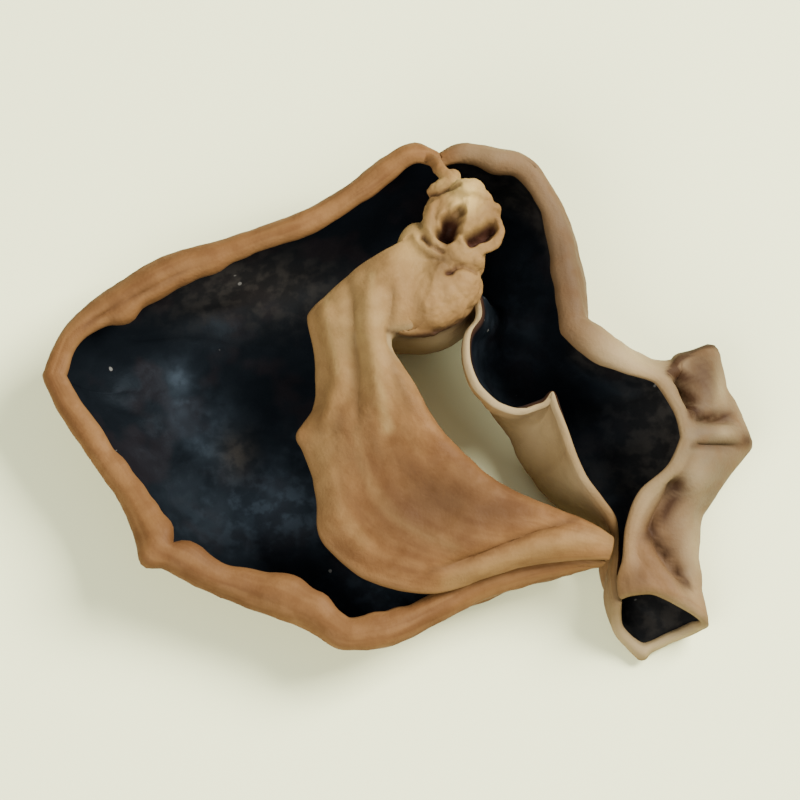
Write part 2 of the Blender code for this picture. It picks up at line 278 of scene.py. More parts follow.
LIP_IN = (
    (24.4, -21.4, 7.1), (24.8, -21.1, 7.6), (25.8, -20.7, 7.9), (27.5, -20.6, 7.9), (32.8, -23.6, 4.9),
    (31.9, -24.3, 2.4), (29.3, -25.4, 1.8), (26.4, -26.4, 1.8), (24.3, -24.5, 3.6), (24.15, -22.3, 5.9),
    (24.1, -22.0, 6.2), (24.15, -21.8, 6.3), (24.2, -21.65, 6.45), (24.3, -21.5, 6.6),
)

# The rim's roll, in degrees, where it is a thin free edge that only bends over.
BENT = 100.0

STATIONS = (
    # The broad lobe, from its tip along the front, round the left point and back to the neck.
    Station((22.4, -17.5, 8.3), (23.4, -15.0, 9.0), section=TIP),
    Station((20.0, -17.9, 7.7), (21.9, -14.2, 9.3), (20.2, -17.1, 9.3), lip=1.0, roll=130,
            floor=6.2, heel=0.8),
    Station((16.5, -18.8, 7.2), (19.6, -13.2, 9.6), (16.4, -17.4, 8.9), floor=4.4, heel=1.5, lip=1.2),
    Station((10.0, -20.6, 6.8), (17.0, -12.4, 9.8), (9.8, -18.7, 8.7), floor=2.8, heel=2.5, lip=1.4),
    Station((4.5, -23.4, 6.8), (14.0, -11.3, 10.4), (4.6, -20.7, 8.8), lip=1.7, floor=1.8, heel=3.5),
    Station((-1.0, -26.0, 7.0), (11.0, -9.7, 11.0), (0.5, -20.7, 9.6), lip=1.8, heel=4.5),
    Station((-6.5, -26.6, 7.5), (8.5, -7.8, 12.0), (-4.0, -19.2, 9.4), lip=1.8, sharp=0.3),
    Station((-11.0, -24.0, 7.8), (6.6, -6.1, 12.8), (-7.0, -17.0, 9.5), lip=2.5),
    Station((-17.0, -21.5, 8.0), (5.0, -4.5, 13.5), (-8.6, -14.8, 9.8), lip=1.9),
    Station((-22.5, -19.4, 8.5), (4.0, -3.2, 14.0), (-8.8, -11.5, 10.5), lip=1.8),
    Station((-27.3, -16.6, 9.0), (3.0, -1.8, 14.5), (-9.3, -8.7, 11.0), lip=2.2, sharp=0.6),
    Station((-29.5, -12.0, 9.0), (2.2, -0.5, 15.0), (-10.4, -6.0, 11.5), lip=1.5),
    Station((-33.5, -6.0, 8.7), (1.2, 1.2, 15.5), (-10.9, -3.9, 12.0), (-3.6, -1.2), lip=1.3, sharp=0.5),
    Station((-37.0, -0.8, 9.0), (0.4, 2.6, 16.0), (-9.3, -1.5, 12.5), (-4.2, 0.2), lip=1.1),
    Station((-38.5, 2.6, 9.3), (-0.4, 3.9, 16.2), (-8.9, 1.5, 13.0), (-4.6, 1.6), lip=1.15, sharp=0.8),
    Station((-36.2, 7.5, 9.6), (-1.1, 5.0, 16.5), (-9.2, 5.0, 13.5), (-4.6, 2.9), lip=1.0),
    Station((-33.2, 10.8, 10.0), (-1.5, 6.1, 17.0), (-9.8, 9.0, 14.5), (-4.2, 4.0), lip=1.8, sharp=0.7),
    Station((-27.0, 14.6, 10.6), (-1.5, 7.1, 17.2), (-7.6, 11.6, 15.5), (-3.4, 4.8), lip=2.1),
    Station((-20.0, 17.0, 11.2), (-0.7, 7.9, 17.2), (-4.6, 14.2, 16.8), (-2.2, 5.2), lip=1.3),
    Station((-13.0, 19.4, 12.0), (0.8, 8.3, 17.0), (-1.6, 16.2, 18.0), (-0.4, 5.2), lip=1.25),
    Station((-6.5, 22.3, 13.0), (2.4, 8.4, 16.4), (0.6, 17.5, 17.6), (1.6, 5.1), lip=1.2),
    Station((-2.0, 25.8, 14.0), (4.0, 8.6, 15.8), (3.0, 19.5, 18.0), (3.6, 5.2), lip=1.2),
    Station((1.6, 27.6, 14.8), (5.4, 9.2, 15.3), (5.0, 20.5, 18.0), (5.4, 5.8), lip=1.0),
    # The neck under the foot, where the rim dips between the lobes.
    Station((4.4, 26.3, 14.0), (6.6, 10.2, 14.8), (7.0, 17.6, 17.0), (7.0, 7.2), lip=0.9,
            roll=150, sharp=0.8),
    Station((7.0, 27.6, 14.0), (7.4, 11.2, 14.0), (7.7, 13.8, 15.2), (8.2, 8.8), lip=1.1),
    Station((10.5, 27.0, 14.0), (8.2, 11.8, 13.0), foot=(9.5, 9.8), lip=1.2, hook=0.9),
    # The narrow lobe: a channel that deepens to a pouch, then closes to a tube with an open end.
    Station((13.8, 26.0, 13.8), (8.6, 10.2, 12.0), foot=(10.6, 9.4), lip=1.15, hook=0.4),
    Station((16.6, 22.5, 13.4), (8.5, 8.4, 11.5), foot=(10.9, 8.0), lip=1.15, belly=0.3, hook=0.8),
    Station((18.2, 18.5, 13.1), (7.2, 6.6, 11.3), foot=(10.4, 6.2), lip=1.25, belly=0.4, hook=1.0),
    Station((19.1, 14.5, 12.8), (7.1, 3.9, 11.1), foot=(10.0, 4.2), lip=1.35, belly=0.5, hook=1.0),
    Station((19.5, 11.0, 12.6), (8.2, 1.2, 10.9), foot=(10.0, 1.9), lip=1.45, belly=0.5, hook=1.0),
    Station((19.8, 8.7, 12.4), (10.2, -0.8, 10.7), foot=(10.6, -0.2), lip=1.5, belly=0.5, sharp=0.7),
    Station((22.6, 6.8, 12.4), (12.4, -1.4, 10.6), foot=(11.4, -2.4), lip=1.8, belly=0.6),
    Station((26.0, 3.9, 12.2), (14.8, -0.7, 10.6), foot=(12.8, -4.6), wide=(28.6, 3.4), lip=1.1, roll=150,
            hook=1.0),
    Station((28.5, 2.3, 12.0), (16.6, 0.0, 11.0), foot=(13.4, -6.2), wide=(34.4, 5.0), lip=1.1, roll=BENT,
            sharp=0.4, hook=0.3),
    Station((30.8, -0.8, 12.0), (17.4, -3.0, 9.9), foot=(14.4, -7.8), wide=(35.6, 0.8), lip=1.3, roll=BENT,
            hook=1.0),
    Station((31.4, -4.2, 12.0), (18.2, -5.8, 9.6), foot=(15.6, -9.6), wide=(38.0, -4.6), lip=1.2, roll=BENT,
            sharp=0.8),
    Station((29.9, -7.4, 11.2), (19.5, -8.5, 9.2), foot=(17.4, -11.6), wide=(35.2, -8.6), lip=1.2, roll=BENT),
    Station((26.6, -10.6, 10.2), (21.4, -10.9, 8.4), foot=(19.8, -13.2), wide=(33.2, -11.4), lip=1.2,
            roll=BENT),
    Station((25.4, -13.4, 9.6), (23.0, -13.2, 7.0), foot=(22.2, -15.6), wide=(32.0, -14.4), lip=1.0,
            roll=BENT),
    Station((25.1, -17.0, 9.0), (23.7, -16.6, 5.6), foot=(22.4, -19.6), wide=(32.0, -18.0), lip=1.0,
            roll=BENT, hook=0.5),
    Station((26.8, -19.2, 8.9), (23.6, -19.0, 7.3), section=THROAT),
    Station((27.6, -20.3, 8.6), (23.7, -21.6, 6.9), section=MOUTH),
    Station((27.6, -20.5, 8.5), (23.8, -21.7, 6.9), section=LIP_OUT),
    Station((27.6, -20.7, 8.2), (24.1, -21.7, 6.8), section=LIP_TOP),
    Station((27.5, -20.6, 7.9), (24.4, -21.7, 6.6), section=LIP_IN),
)

# Places along the sheet, counted in stations. The pouch's lip is a bent edge up to the last one.
NECK = 24.5
POUCH = 32.0
LAST_BENT = 42
LAST = len(STATIONS) - 1

# Places across it, counted in points of a section. The flap lies between FOLD and EDGE. The pouch's outer
# side begins at BESIDE, close to its lip, where limits have a shorter soft step.
RIM = 3.0
BESIDE, BESIDE_STEP = 2.55, 0.4
FLOOR = 6.0
FOLD = 9.0
EDGE = 13.0

# Parts of the sheet, from one place across it to another.
LIP = (-1.0, RIM)
WHOLE_RIM = (-1.0, RIM + 1.0)
OUTSIDE = (BESIDE, FLOOR)
OUTSIDE_LOW = (BESIDE, FLOOR + 1)
WALL = (RIM, FLOOR + 1)
INSIDE = (RIM, FOLD)
INNER_WALL = (FOLD - 2, EDGE + 1)
UNDERCUT = (FOLD - 2, FOLD + 0.5)
CROWN = (FOLD - 1, EDGE + 1)
FLAP = (FOLD, EDGE + 1)

# Where the torn foot counts as lying, and limits that hold it and no more of the sheet than lies under it.
FOOT_PLACE = (20.0, EDGE)
FOOT_ONLY = ((EDGE - 0.5, EDGE + 1), (19, 21))

# Lines that are both creased and coloured: painted highlight along the rib and the roll, painted shade
# behind the roll and in the doubled fold.
FLAP_RIB = ((-3.0, 13.5), (-3.2, 8.0), (-2.5, 3.0), (-1.4, -3.0))
FLAP_ROLL = ((5.5, -19.6), (9.5, -18.0), (14.0, -16.3), (18.5, -15.2), (22.6, -15.0))
BEHIND_ROLL = ((3.5, -18.4), (7.3, -17.3), (11.2, -15.7), (15.2, -14.1), (19.2, -12.9))
DOUBLED_FOLD = ((-34.2, 8.2), (-30.5, 10.6), (-27.0, 12.2), (-23.0, 14.4))

CREASES = (
    # Ribs that run down the flap from the foot, with the valleys between them.
    Crease(((-8.0, 11.0), (-7.8, 8.0), (-6.6, 3.0), (-8.6, -4.0)), 0.5, 0.8, FLAP, (6, 21)),
    Crease(FLAP_RIB, 0.55, 0.8, FLAP, (6, 22)),
    Crease(((-5.4, 13.0), (-5.1, 8.0), (-4.8, 3.0), (-4.6, -4.0)), -0.55, 0.75, FLAP, (6, 21)),
    Crease(((-0.8, 13.0), (-1.0, 8.0), (-0.6, 5.0)), -0.35, 0.7, FLAP, (6, 22)),
    Crease(((-8.0, -4.0), (-7.6, -9.0), (-6.2, -13.5), (-3.0, -17.0)), 0.35, 1.3, FLAP, (4, 18)),
    Crease(((-3.0, -4.0), (1.0, -10.0), (6.5, -13.0)), -0.5, 2.6, FLAP, (2, 18)),
    # The roll along the flap's lower edge, up to the tip.
    Crease(FLAP_ROLL, 0.45, 1.1, FLAP, (0, 6)),
    Crease(BEHIND_ROLL, -0.5, 0.6, FLAP, (0, 7)),
    # The pouch's outer side: a hollow beside the rim, the crest, and the pinched corner.
    Crease(((29.8, 3.6), (30.8, 2.3), (31.6, 0.5), (31.9, -1.2)), -2.2, 0.8, OUTSIDE, (32.4, 37.0)),
    Crease(((33.2, 5.0), (33.5, 2.4), (33.8, -0.4)), 0.6, 0.9, OUTSIDE, (33.0, 36.8)),
    Crease(((31.8, -1.5), (33.6, -2.0), (36.2, -2.0)), -1.4, 0.62, OUTSIDE, (34.0, 38.0)),
    Crease(((32.4, -3.4), (34.5, -3.4), (37.0, -3.6)), 0.6, 0.55, OUTSIDE, (34.0, 38.0)),
    Crease(((31.8, -4.9), (34.4, -4.9), (37.4, -5.0)), -0.5, 0.5, OUTSIDE, (34.0, 39.0)),
    Crease(((34.6, -5.9), (31.4, -10.8), (30.8, -15.4), (31.4, -20.4)), 0.8, 1.1, OUTSIDE_LOW, (35.0, 42.0)),
    Crease(((30.2, -8.2), (29.3, -10.8), (27.9, -13.2), (26.9, -15.0)), -1.3, 0.85, OUTSIDE_LOW,
           (36.0, 42.0)),
    Crease(((26.0, -15.6), (27.8, -18.1), (30.4, -21.0)), 0.6, 0.5, OUTSIDE_LOW, (36.0, 42.5)),
    Crease(((27.5, -14.6), (29.2, -17.1), (31.0, -19.8)), -1.4, 0.75, OUTSIDE_LOW, (36.0, 42.5)),
    # The doubled fold of the rim beside the left point.
    Crease(DOUBLED_FOLD, -0.45, 0.32, WHOLE_RIM, (14.6, 18.6)),
)

PULLS = (
    # The tooth on the flap's free edge, the step below the foot, and the wart on the rim.
    Pull((-11.0, -4.0), (-0.3, -0.3, 0.2), 0.8, (FOLD + 2, EDGE + 1), (9, 15)),
    Pull((-26.8, -16.8), (-0.6, -0.9, 0.3), 1.1, (0.0, RIM + 1.0), (8, 12)),
    Pull((-24.3, -14.9), (-0.7, -0.9, -0.3), 0.9, (-1.0, RIM - 0.5), (8, 12)),
    # The flap dives under the foot's knob.
    Pull((5.2, 19.0), (0.0, 0.9, -4.2), 3.4, CROWN, (20, 27)),
    # The pouch's leaf reaches out and up beside the rim.
    Pull((32.0, 4.2), (-1.3, 0.1, 0.5), 1.5, (RIM + 0.2, FLOOR + 0.5), (32.5, 35.0)),
    Pull((34.0, 5.4), (0.0, 0.6, 0.3), 1.5, (RIM + 0.2, FLOOR + 0.5), (33.0, 35.6)),
    # The corner of the doubled fold.
    Pull((-29.8, 8.8), (0.2, -0.9, 0.0), 1.5, (-1.0, RIM - 0.5), (14.8, 17.6)),
    # The sharp corner of the tube's lower lip.
    Pull((26.2, -27.4), (0.1, -0.7, 0.0), 0.7, (FLOOR - 0.2, FLOOR + 2.4), (41.5, 46.0)),
    # The horn beside the gap.
    Pull((16.6, 0.7), (0.0, 0.9, 0.6), 0.7, FLAP, (32, 36)),
    # It stays low under the slits in the foot.
    Pull((6.6, 13.8), (0.0, 0.0, -1.8), 2.2, (FOLD - 0.5, EDGE + 1), (19, 27)),
    Pull((3.2, 16.8), (0.0, 0.0, -1.2), 1.6, FLAP, (19, 27)),
)

CREAM_AND_HIGHLIGHT = (
    Stain((4.0, 13.0), (10.0, 9.0), 0.55, INNER_WALL, (10, 26)),
    # Painted highlights along two of the flap's ribs.
    Stroke(((-7.9, 12.0), (-7.8, 8.0), (-6.6, 3.0)), 0.6, 0.9, FLAP, (4, 22)),
    Stroke(FLAP_RIB, 0.7, 0.9, FLAP, (4, 22)),
    # Creamier parts of the flap.
    Stain((-4.0, 8.0), (6.5, 8.0), 0.9, INNER_WALL, (8, 26)),
    Stain((-8.5, 4.0), (3.0, 9.0), 0.5, FLAP, (6, 22)),
    Stain((-8.5, -6.0), (2.5, 8.0), 0.45, FLAP, (4, 18)),
    # Painted highlights on the flap's middle rib and along its lower ribs.
    Stain((-2.6, 4.0), (1.6, 6.0), 0.5, FLAP, (6, 22)),
    Stroke(((-8.2, -1.0), (-8.5, -6.0), (-7.0, -11.0), (-4.0, -15.4)), 0.7, 0.32, FLAP, (0, 20)),
    Stroke(((-4.8, -3.0), (-3.8, -8.0), (0.0, -13.0), (6.0, -16.0)), 0.6, 0.3, FLAP, (0, 20)),
    # Creamier parts of the inner wall beside the gap.
    Stain((8.0, 2.0), (8.0, 8.0), 0.9, INNER_WALL, (26, 36)),
    Stain((16.0, -6.0), (6.0, 9.0), 0.7, INNER_WALL, (32, 40)),
    # Painted highlight along the roll of the flap's lower edge.
    Stroke(FLAP_ROLL, 1.1, 0.45, FLAP, (0, 6)),
)
UMBER_AND_SHADE = (
    Stain((4.5, -11.0), (7.5, 4.6), 0.7, FLAP, (0, 20)),
    Stain((9.0, -12.0), (5.0, 2.2), 0.6, FLAP, (0, 20)),
    Stain((5.8, -10.6), (2.0, 1.4), 0.5, FLAP, (0, 20)),
    Stain((-3.0, -8.0), (4.5, 6.0), 0.25, FLAP, (0, 20)),
    # Dark strokes in the valleys of the flap's lower ribs and behind the roll of its edge: painted shade.
    Stroke(((-6.4, -1.0), (-6.9, -6.0), (-5.2, -11.0), (-1.6, -15.0)), 0.6, 0.26, FLAP, (0, 20)),
    Stroke(BEHIND_ROLL, 0.45, 0.4, FLAP, (0, 7)),
    Stroke(((-3.4, -2.0), (-1.8, -7.0), (2.2, -11.5), (8.0, -14.0)), 0.7, 0.26, FLAP, (0, 20)),
    Stroke(((0.6, -3.0), (3.2, -7.0), (8.0, -10.4), (13.0, -12.4)), 0.6, 0.24, FLAP, (0, 20)),
    # Painted shade in the pouch's hollow, in its pinched corner and in the creases below, and a dark line
    # along its top edge.
    Stroke(((29.9, 3.2), (30.7, 2.2), (31.3, 0.8), (31.7, -1.4)), 0.8, 1.25, OUTSIDE, (32.4, 37)),
    Stroke(((29.4, 3.0), (30.4, 4.4), (31.8, 5.4), (33.4, 6.1), (34.8, 6.1), (35.6, 5.2)), 0.5, 1.4,
           (BESIDE, EDGE), (32.0, 37)),
    Stroke(((31.8, -1.4), (33.6, -1.9), (35.8, -1.7)), 0.7, 1.05, OUTSIDE, (33, 38)),
    Stroke(((31.6, -4.9), (34.4, -4.9), (37.6, -4.9)), 0.4, 0.7, OUTSIDE_LOW, (33, 40)),
    Stain((38.0, -4.4), (0.9, 0.9), 1.0, WALL, (33, 40)),
    Stroke(((30.1, -9.2), (29.3, -11.2), (28.0, -13.2), (27.1, -14.7)), 0.9, 1.15, OUTSIDE_LOW, (36, 42)),
    Stroke(((28.9, -13.6), (29.8, -16.2), (31.0, -19.0)), 1.5, 0.34, OUTSIDE_LOW, (36, 42.4)),
    Stroke(((27.5, -14.8), (29.1, -17.2), (30.9, -19.8)), 0.75, 0.95, OUTSIDE_LOW, (36, 42.4)),
    Stroke(((31.1, -19.4), (31.6, -20.4)), 0.3, 0.9, WALL, (38, 42.4)),
    # A darker patch at the tube's throat.
    Stain((26.0, -19.2), (1.5, 1.6), 0.5, (1.0, FLOOR), (39, 43.4)),
    # Painted shade on the leaf's inner side, beside the rim.
    Stain((33.2, 3.0), (2.0, 3.4), 0.85, OUTSIDE_LOW, (33, 37)),
    # Darker patches at the tube's open end and along the narrow lobe's rim.
    Stain((33.2, -24.0), (1.0, 0.7), 0.45, (RIM, EDGE + 1), (40, 46)),
    Stain((18.4, 13.0), (3.4, 8.0), 0.5, (-1.0, RIM + 2.0), (25, 33)),
    # The rim along the front and round the left point.
    Stain((-12.0, -18.0), (30.0, 18.0), 0.2, WHOLE_RIM, (1, 20)),
    Stain((-26.0, 12.0), (14.0, 9.0), 0.2, WHOLE_RIM, (11, 23)),
    # Painted shade in the crease of the rim's doubled fold.
    Stroke(DOUBLED_FOLD, 0.3, 0.45, WHOLE_RIM, (14.6, 18.6)),
    # Painted shade in the valleys between the flap's ribs.
    Stroke(((-5.4, 13.0), (-5.1, 8.0), (-4.8, 3.0), (-4.4, -3.0)), 0.5, 0.32, FLAP, (4, 22)),
    Stroke(((-0.8, 12.0), (-1.0, 8.0), (-0.7, 4.0), (1.2, -1.0)), 0.5, 0.3, FLAP, (4, 22)),
    Stroke(((-8.4, 2.0), (-9.0, -2.0), (-7.6, -7.0), (-6.4, -12.0)), 0.6, 0.2, FLAP, (4, 22)),
    # Painted shade along the undercut below the foot, on the sheet and on the foot itself, and a darker patch
    # on the foot's neck.
    Stroke(((-1.3, 7.5), (1.0, 6.9), (3.8, 7.5), (7.9, 9.1), (9.0, 10.8)), 0.35, 0.8,
           (FOLD - 2, FOLD + 1), (14, 27)),
    Stain((4.4, 15.0), (1.6, 1.7), 0.55, FLAP, (19, 27)),
    Stroke(((-1.4, 7.2), (1.0, 6.7), (3.8, 7.2), (6.4, 8.1), (8.4, 9.8)), 0.5, 1.1, *FOOT_ONLY),
    Stain((3.2, 18.9), (0.8, 2.2), 0.2, *FOOT_ONLY),
    Stain((10.4, 19.8), (0.9, 1.6), 0.25, *FOOT_ONLY),
)
CREST = (
    # The foot's pale knob, and a little of the skin round it.
    Stain((7.2, 22.3), (1.9, 2.2), 1.05, CROWN, (17, 27)),
    Stain((6.8, 19.4), (4.6, 4.4), 0.2, CROWN, (17, 27)),
    Stain((1.6, 17.6), (3.0, 3.2), 0.35, CROWN, (17, 27)),
    Stain((4.4, 23.6), (1.4, 1.2), 0.35, CROWN, (17, 27)),
)
PALE_AND_HIGHLIGHT = (
    # Thin edges: beside the gap, round the pouch and at the tube's open end.
    Stain((10.0, 3.0), (9.0, 9.0), 1.5, (EDGE - 2.2, EDGE + 1), (26, 37)),
    Stain((27.6, -9.6), (4.4, 6.0), 0.34, LIP, (33, 41)),
    Stroke(((27.4, 4.0), (28.8, 1.6), (30.0, -0.6), (30.3, -4.0), (29.8, -6.6)), 0.7, 0.22, LIP, (33, 39)),
    Stain((25.0, 4.4), (5.0, 4.0), 0.6, WHOLE_RIM, (30, 36)),
    Stain((25.0, -16.0), (1.6, 4.0), 0.16, LIP, (37, 42)),
    Stain((9.0, 27.0), (5.0, 2.0), 0.16, WHOLE_RIM, (23.8, 28)),
    Stain((28.0, -25.5), (6.0, 3.0), 1.0, (-1.0, EDGE + 1), (42.2, 50)),
    # Painted light on the strip of wall under the foot's blob, which lies in shade.
    Stain((3.5, 6.4), (5.0, 1.6), 1.0, UNDERCUT, (14, 27)),
    # The wall below the gap's edge.
    Stain((14.5, -3.5), (3.6, 4.5), 0.5, INNER_WALL, (31, 40)),
    Stain((18.5, -9.5), (3.4, 3.6), 0.4, INNER_WALL, (33, 40)),
    Stain((31.8, -17.5), (1.4, 5.0), 0.35, WALL, (38, 42)),
    # Painted highlights on the ridges of the pouch's outer side.
    Stain((35.2, -3.4), (1.0, 0.6), 0.4, (RIM + 0.3, FLOOR), (34, 39)),
    Stain((32.3, -8.6), (1.4, 2.6), 0.25, (RIM, FLOOR), (36, 41)),
    # Paler patches beside the tube's open end and on the pouch's outer side.
    Stain((23.6, -23.0), (2.0, 4.0), 0.3, (FLOOR, EDGE + 1), (39, 46)),
    Stain((35.0, 1.4), (0.8, 2.4), 0.4, (RIM + 0.3, FLOOR), (33, 38)),
)
ASH = (
    Stain((33.0, -6.0), (9.0, 16.0), 1.0, (-1.0, FLOOR + 1), (32.6, 43)),
    Stain((28.0, -24.0), (8.0, 6.0), 0.6, (0.0, EDGE + 1), (39, 50)),
    Stain((16.0, 17.0), (16.0, 18.0), 0.8, (-1.0, RIM + 2.0), (23.6, 34)),
    Stain((17.0, -7.0), (7.0, 9.0), 0.9, INNER_WALL, (31, 41)),
    Stain((3.5, 5.5), (6.0, 2.2), 0.8, UNDERCUT, (14, 27)),
    # Painted reflection in the ash tone on the broad lobe's upper left wall and a patch of its floor, inside.
    Stain((-18.0, -6.2), (1.8, 2.4), 0.8, INSIDE, (3, 24)),
    Stain((-16.5, 12.4), (9.0, 3.4), 0.8, INSIDE, (3, 24)),
)

BLOOM_AND_SHEEN = (
    # The skin's own pale, bluish bloom and painted reflection, on the broad lobe's dark floor and a little in
    # the narrow lobe, with painted light where the floor lies in shade.
    Stain((-21.0, -3.0), (3.2, 3.8), 0.55, INSIDE, (3, 24)),
    Stain((-24.2, 1.6), (2.0, 2.6), 0.8, INSIDE, (3, 24)),
    Stain((12.0, 8.0), (3.5, 9.0), 0.5, INSIDE, (25, 34)),
    Stain((-15.0, -12.0), (6.5, 3.6), 2.0, INSIDE, (3, 24)),
    Stroke(((-24.4, 2.4), (-23.0, -3.0), (-19.0, -8.0), (-15.4, -12.8)), 1.6, 0.9, INSIDE, (3, 24)),
    Stain((-12.0, -6.0), (3.0, 3.0), 0.3, INSIDE, (3, 24)),
    Stain((-2.0, -21.0), (6.0, 3.0), 1.0, INSIDE, (3, 24)),
    Stain((24.0, -2.0), (5.0, 4.0), 0.3, INSIDE, (26, 38)),
)

# Each table is the mask of one tone. Besides the skin's own colours, they hold painted shade in creases and
# hollows, painted highlights on ribs, rolls and ridges, and painted reflection and light on the dark floor.
STAINS = {"cream_and_highlight": CREAM_AND_HIGHLIGHT, "umber_and_shade": UMBER_AND_SHADE, "ash": ASH, "bloom_and_sheen": BLOOM_AND_SHEEN, "crest": CREST, "pale": PALE_AND_HIGHLIGHT}

LUMPS = (
    # The blob over the gap and the slope from the flap up to the knob.
    Lump((2.6, 11.6, 16.5), (5.2, 4.4, 3.1)),
    Lump((6.0, 12.4, 15.8), (3.0, 3.2, 3.2)),
    Lump((1.9, 15.6, 16.7), (2.4, 3.9, 2.3)),
    Lump((3.4, 16.6, 16.9), (2.2, 2.8, 2.4)),
    # The knob's core, its crown, the swellings round its pits, and the bridge to the rim.
    Lump((6.7, 19.2, 17.1), (4.3, 4.4, 3.1)),
    Lump((7.3, 22.5, 18.2), (2.0, 1.5, 2.6)),
    Lump((9.0, 21.7, 17.9), (1.1, 1.0, 1.9)),
    Lump((10.2, 20.6, 17.6), (0.8, 0.8, 1.4)),
    Lump((9.4, 20.6, 17.6), (1.2, 1.3, 1.9)),
    Lump((6.0, 15.6, 16.6), (3.2, 2.4, 2.7)),
    Lump((8.3, 14.7, 16.4), (1.0, 1.0, 2.2)),
    Lump((5.3, 22.7, 16.8), (2.2, 1.5, 1.9)),
    Lump((5.7, 24.0, 15.8), (1.0, 1.1, 1.6)),
)
CURLS = (
    # The rings round the two pits, the ridge between them, and the folds above and below.
    Curl(((4.9, 21.9, 18.7), (3.8, 21.0, 18.8), (3.3, 19.6, 18.8), (3.5, 18.0, 18.7), (4.6, 16.9, 18.7),
          (5.9, 16.6, 18.7)), 0.78),
    Curl(((6.5, 17.2, 19.0), (6.7, 18.8, 19.4), (7.3, 20.4, 19.6), (7.3, 22.2, 19.5)), 0.85),
    Curl(((8.2, 19.8, 19.1), (9.4, 20.3, 18.7), (10.4, 19.5, 18.1), (10.7, 18.1, 17.7), (10.0, 16.8, 17.6),
          (8.7, 16.2, 17.9), (7.2, 16.5, 18.5)), 0.7),
    Curl(((1.2, 27.1, 14.8), (2.7, 26.8, 15.2), (3.8, 25.9, 15.9), (4.6, 24.9, 16.8), (5.4, 24.0, 17.6),
          (7.0, 23.2, 18.4)), 0.72),
    Curl(((6.0, 23.9, 18.0), (4.8, 23.6, 17.8), (3.8, 23.0, 17.5), (3.1, 22.5, 17.2)), 0.62),
    Curl(((5.0, 15.2, 18.3), (6.6, 15.4, 18.3), (8.4, 15.0, 17.7)), 0.65),
    # The rolled lower edge of the blob, over the gap.
    Curl(((-1.3, 9.4, 17.0), (-0.6, 8.1, 16.6), (1.5, 7.6, 16.3), (3.9, 8.0, 16.0), (6.1, 9.1, 15.5),
          (7.8, 10.7, 15.0), (8.5, 12.2, 15.2)), 0.9),
)
PITS = (
    # The two pits of the knob, the slit over them, the one beside them and the small arch below. All the pits
    # are darkened with painted shade.
    Pit((5.1, 18.3), (5.5, 19.4), 1.0, 3.2),
    Pit((5.9, 20.2), (6.5, 20.7), 0.6, 1.3, 0.7),
    Pit((7.9, 17.5), (9.8, 18.7), 0.72, 2.3),
    Pit((2.5, 22.2), (4.2, 22.4), 0.22, 0.5, 0.6),
    Pit((4.2, 22.4), (6.5, 23.4), 0.22, 0.5, 0.6),
    Pit((2.5, 17.7), (3.2, 16.9), 0.34, 0.5, 0.7),
    Pit((3.2, 16.9), (4.6, 16.1), 0.28, 0.4, 0.5),
    Pit((5.2, 13.9), (5.6, 14.0), 0.32, 0.6, 0.9),
    Pit((5.6, 14.0), (6.0, 14.4), 0.28, 0.5, 0.7),
    Pit((5.9, 14.4), (6.9, 14.6), 0.26, 0.35, 0.5),
    Pit((6.9, 14.6), (8.3, 13.8), 0.24, 0.3, 0.4),
    Pit((-1.3, 7.4), (-1.2, 10.2), 0.5, 0.6, 0.5),
    # Painted shade in a dark line under the blob's edge.
    Pit((3.8, 7.5), (7.9, 9.1), 0.2, 0.3, 0.6),
)


def drawn(point: Point) -> Array:
    """The point at its height in space, from its place in the drawing."""
    across, up, height = point
    return np.array([across, (up - height * math.sin(LEAN)) / math.cos(LEAN), height])


def seen(points: Array) -> Array:
    """Where points in space fall in the drawing, as (across, up)."""
    up = points[..., 1] * math.cos(LEAN) + points[..., 2] * math.sin(LEAN)
    return np.stack([points[..., 0], up], axis=-1)


def spline(points: Array, samples: Array, sharp: list[float] | None = None) -> Array:
    """A smooth curve through points.

    Args:
        points: The points, first axis along the curve.
        samples: Where to read the curve, counted in points.
        sharp: For each point, how much of a corner it makes, from 0 to 1.

    Returns:
        The curve at the samples.
    """
    points = np.asarray(points, float)
    steps = np.maximum(np.linalg.norm(np.diff(points, axis=0), axis=-1), TINY) ** 0.5
    slopes = np.diff(points, axis=0) / steps[:, None]
    tangents = np.empty_like(points)
    tangents[0], tangents[-1] = slopes[0], slopes[-1]
    both = (points[2:] - points[:-2]) / (steps[1:] + steps[:-1])[:, None]
    tangents[1:-1] = slopes[:-1] - both + slopes[1:]
    if sharp is not None:
        tangents *= 1 - np.asarray(sharp)[:, None]
    index = np.clip(np.floor(samples).astype(int), 0, len(points) - 2)
    t = (samples - index)[:, None]
    gap = steps[index][:, None]
    return (
        (2 * t**3 - 3 * t**2 + 1) * points[index]
        + (t**3 - 2 * t**2 + t) * gap * tangents[index]
        + (3 * t**2 - 2 * t**3) * points[index + 1]
        + (t**3 - t**2) * gap * tangents[index + 1]
    )


def smooth_line(path: tuple[tuple[float, ...], ...], steps: int) -> Array:
    """A smooth line through the path's points, each gap cut into this many steps."""
    points = np.asarray(path, float)
    return spline(points, np.linspace(0, len(points) - 1, (len(points) - 1) * steps + 1))


def level(vector: Array) -> Array:
    """The vector laid flat and made one long."""
    flat = np.array([vector[0], vector[1], 0.0])
    return flat / max(np.linalg.norm(flat), TINY)


def held(values: Array) -> Array:
    """The values, none of them below 0 or above 1."""
    return np.clip(values, 0.0, 1.0)


def ripple(points: Array, length: float, seed: float = 0.0) -> Array:
    """Smooth noise at each point, from about -1 to 1.

    Args:
        points: An array whose last axis is x, y, z.
        length: The size of the ripples.
        seed: A shift that gives another pattern.

    Returns:
        The noise, without the last axis.
    """
    flat = points.reshape(-1, 3) / length + seed
    return np.array([noise.noise(Vector(p)) for p in flat]).reshape(points.shape[:-1])


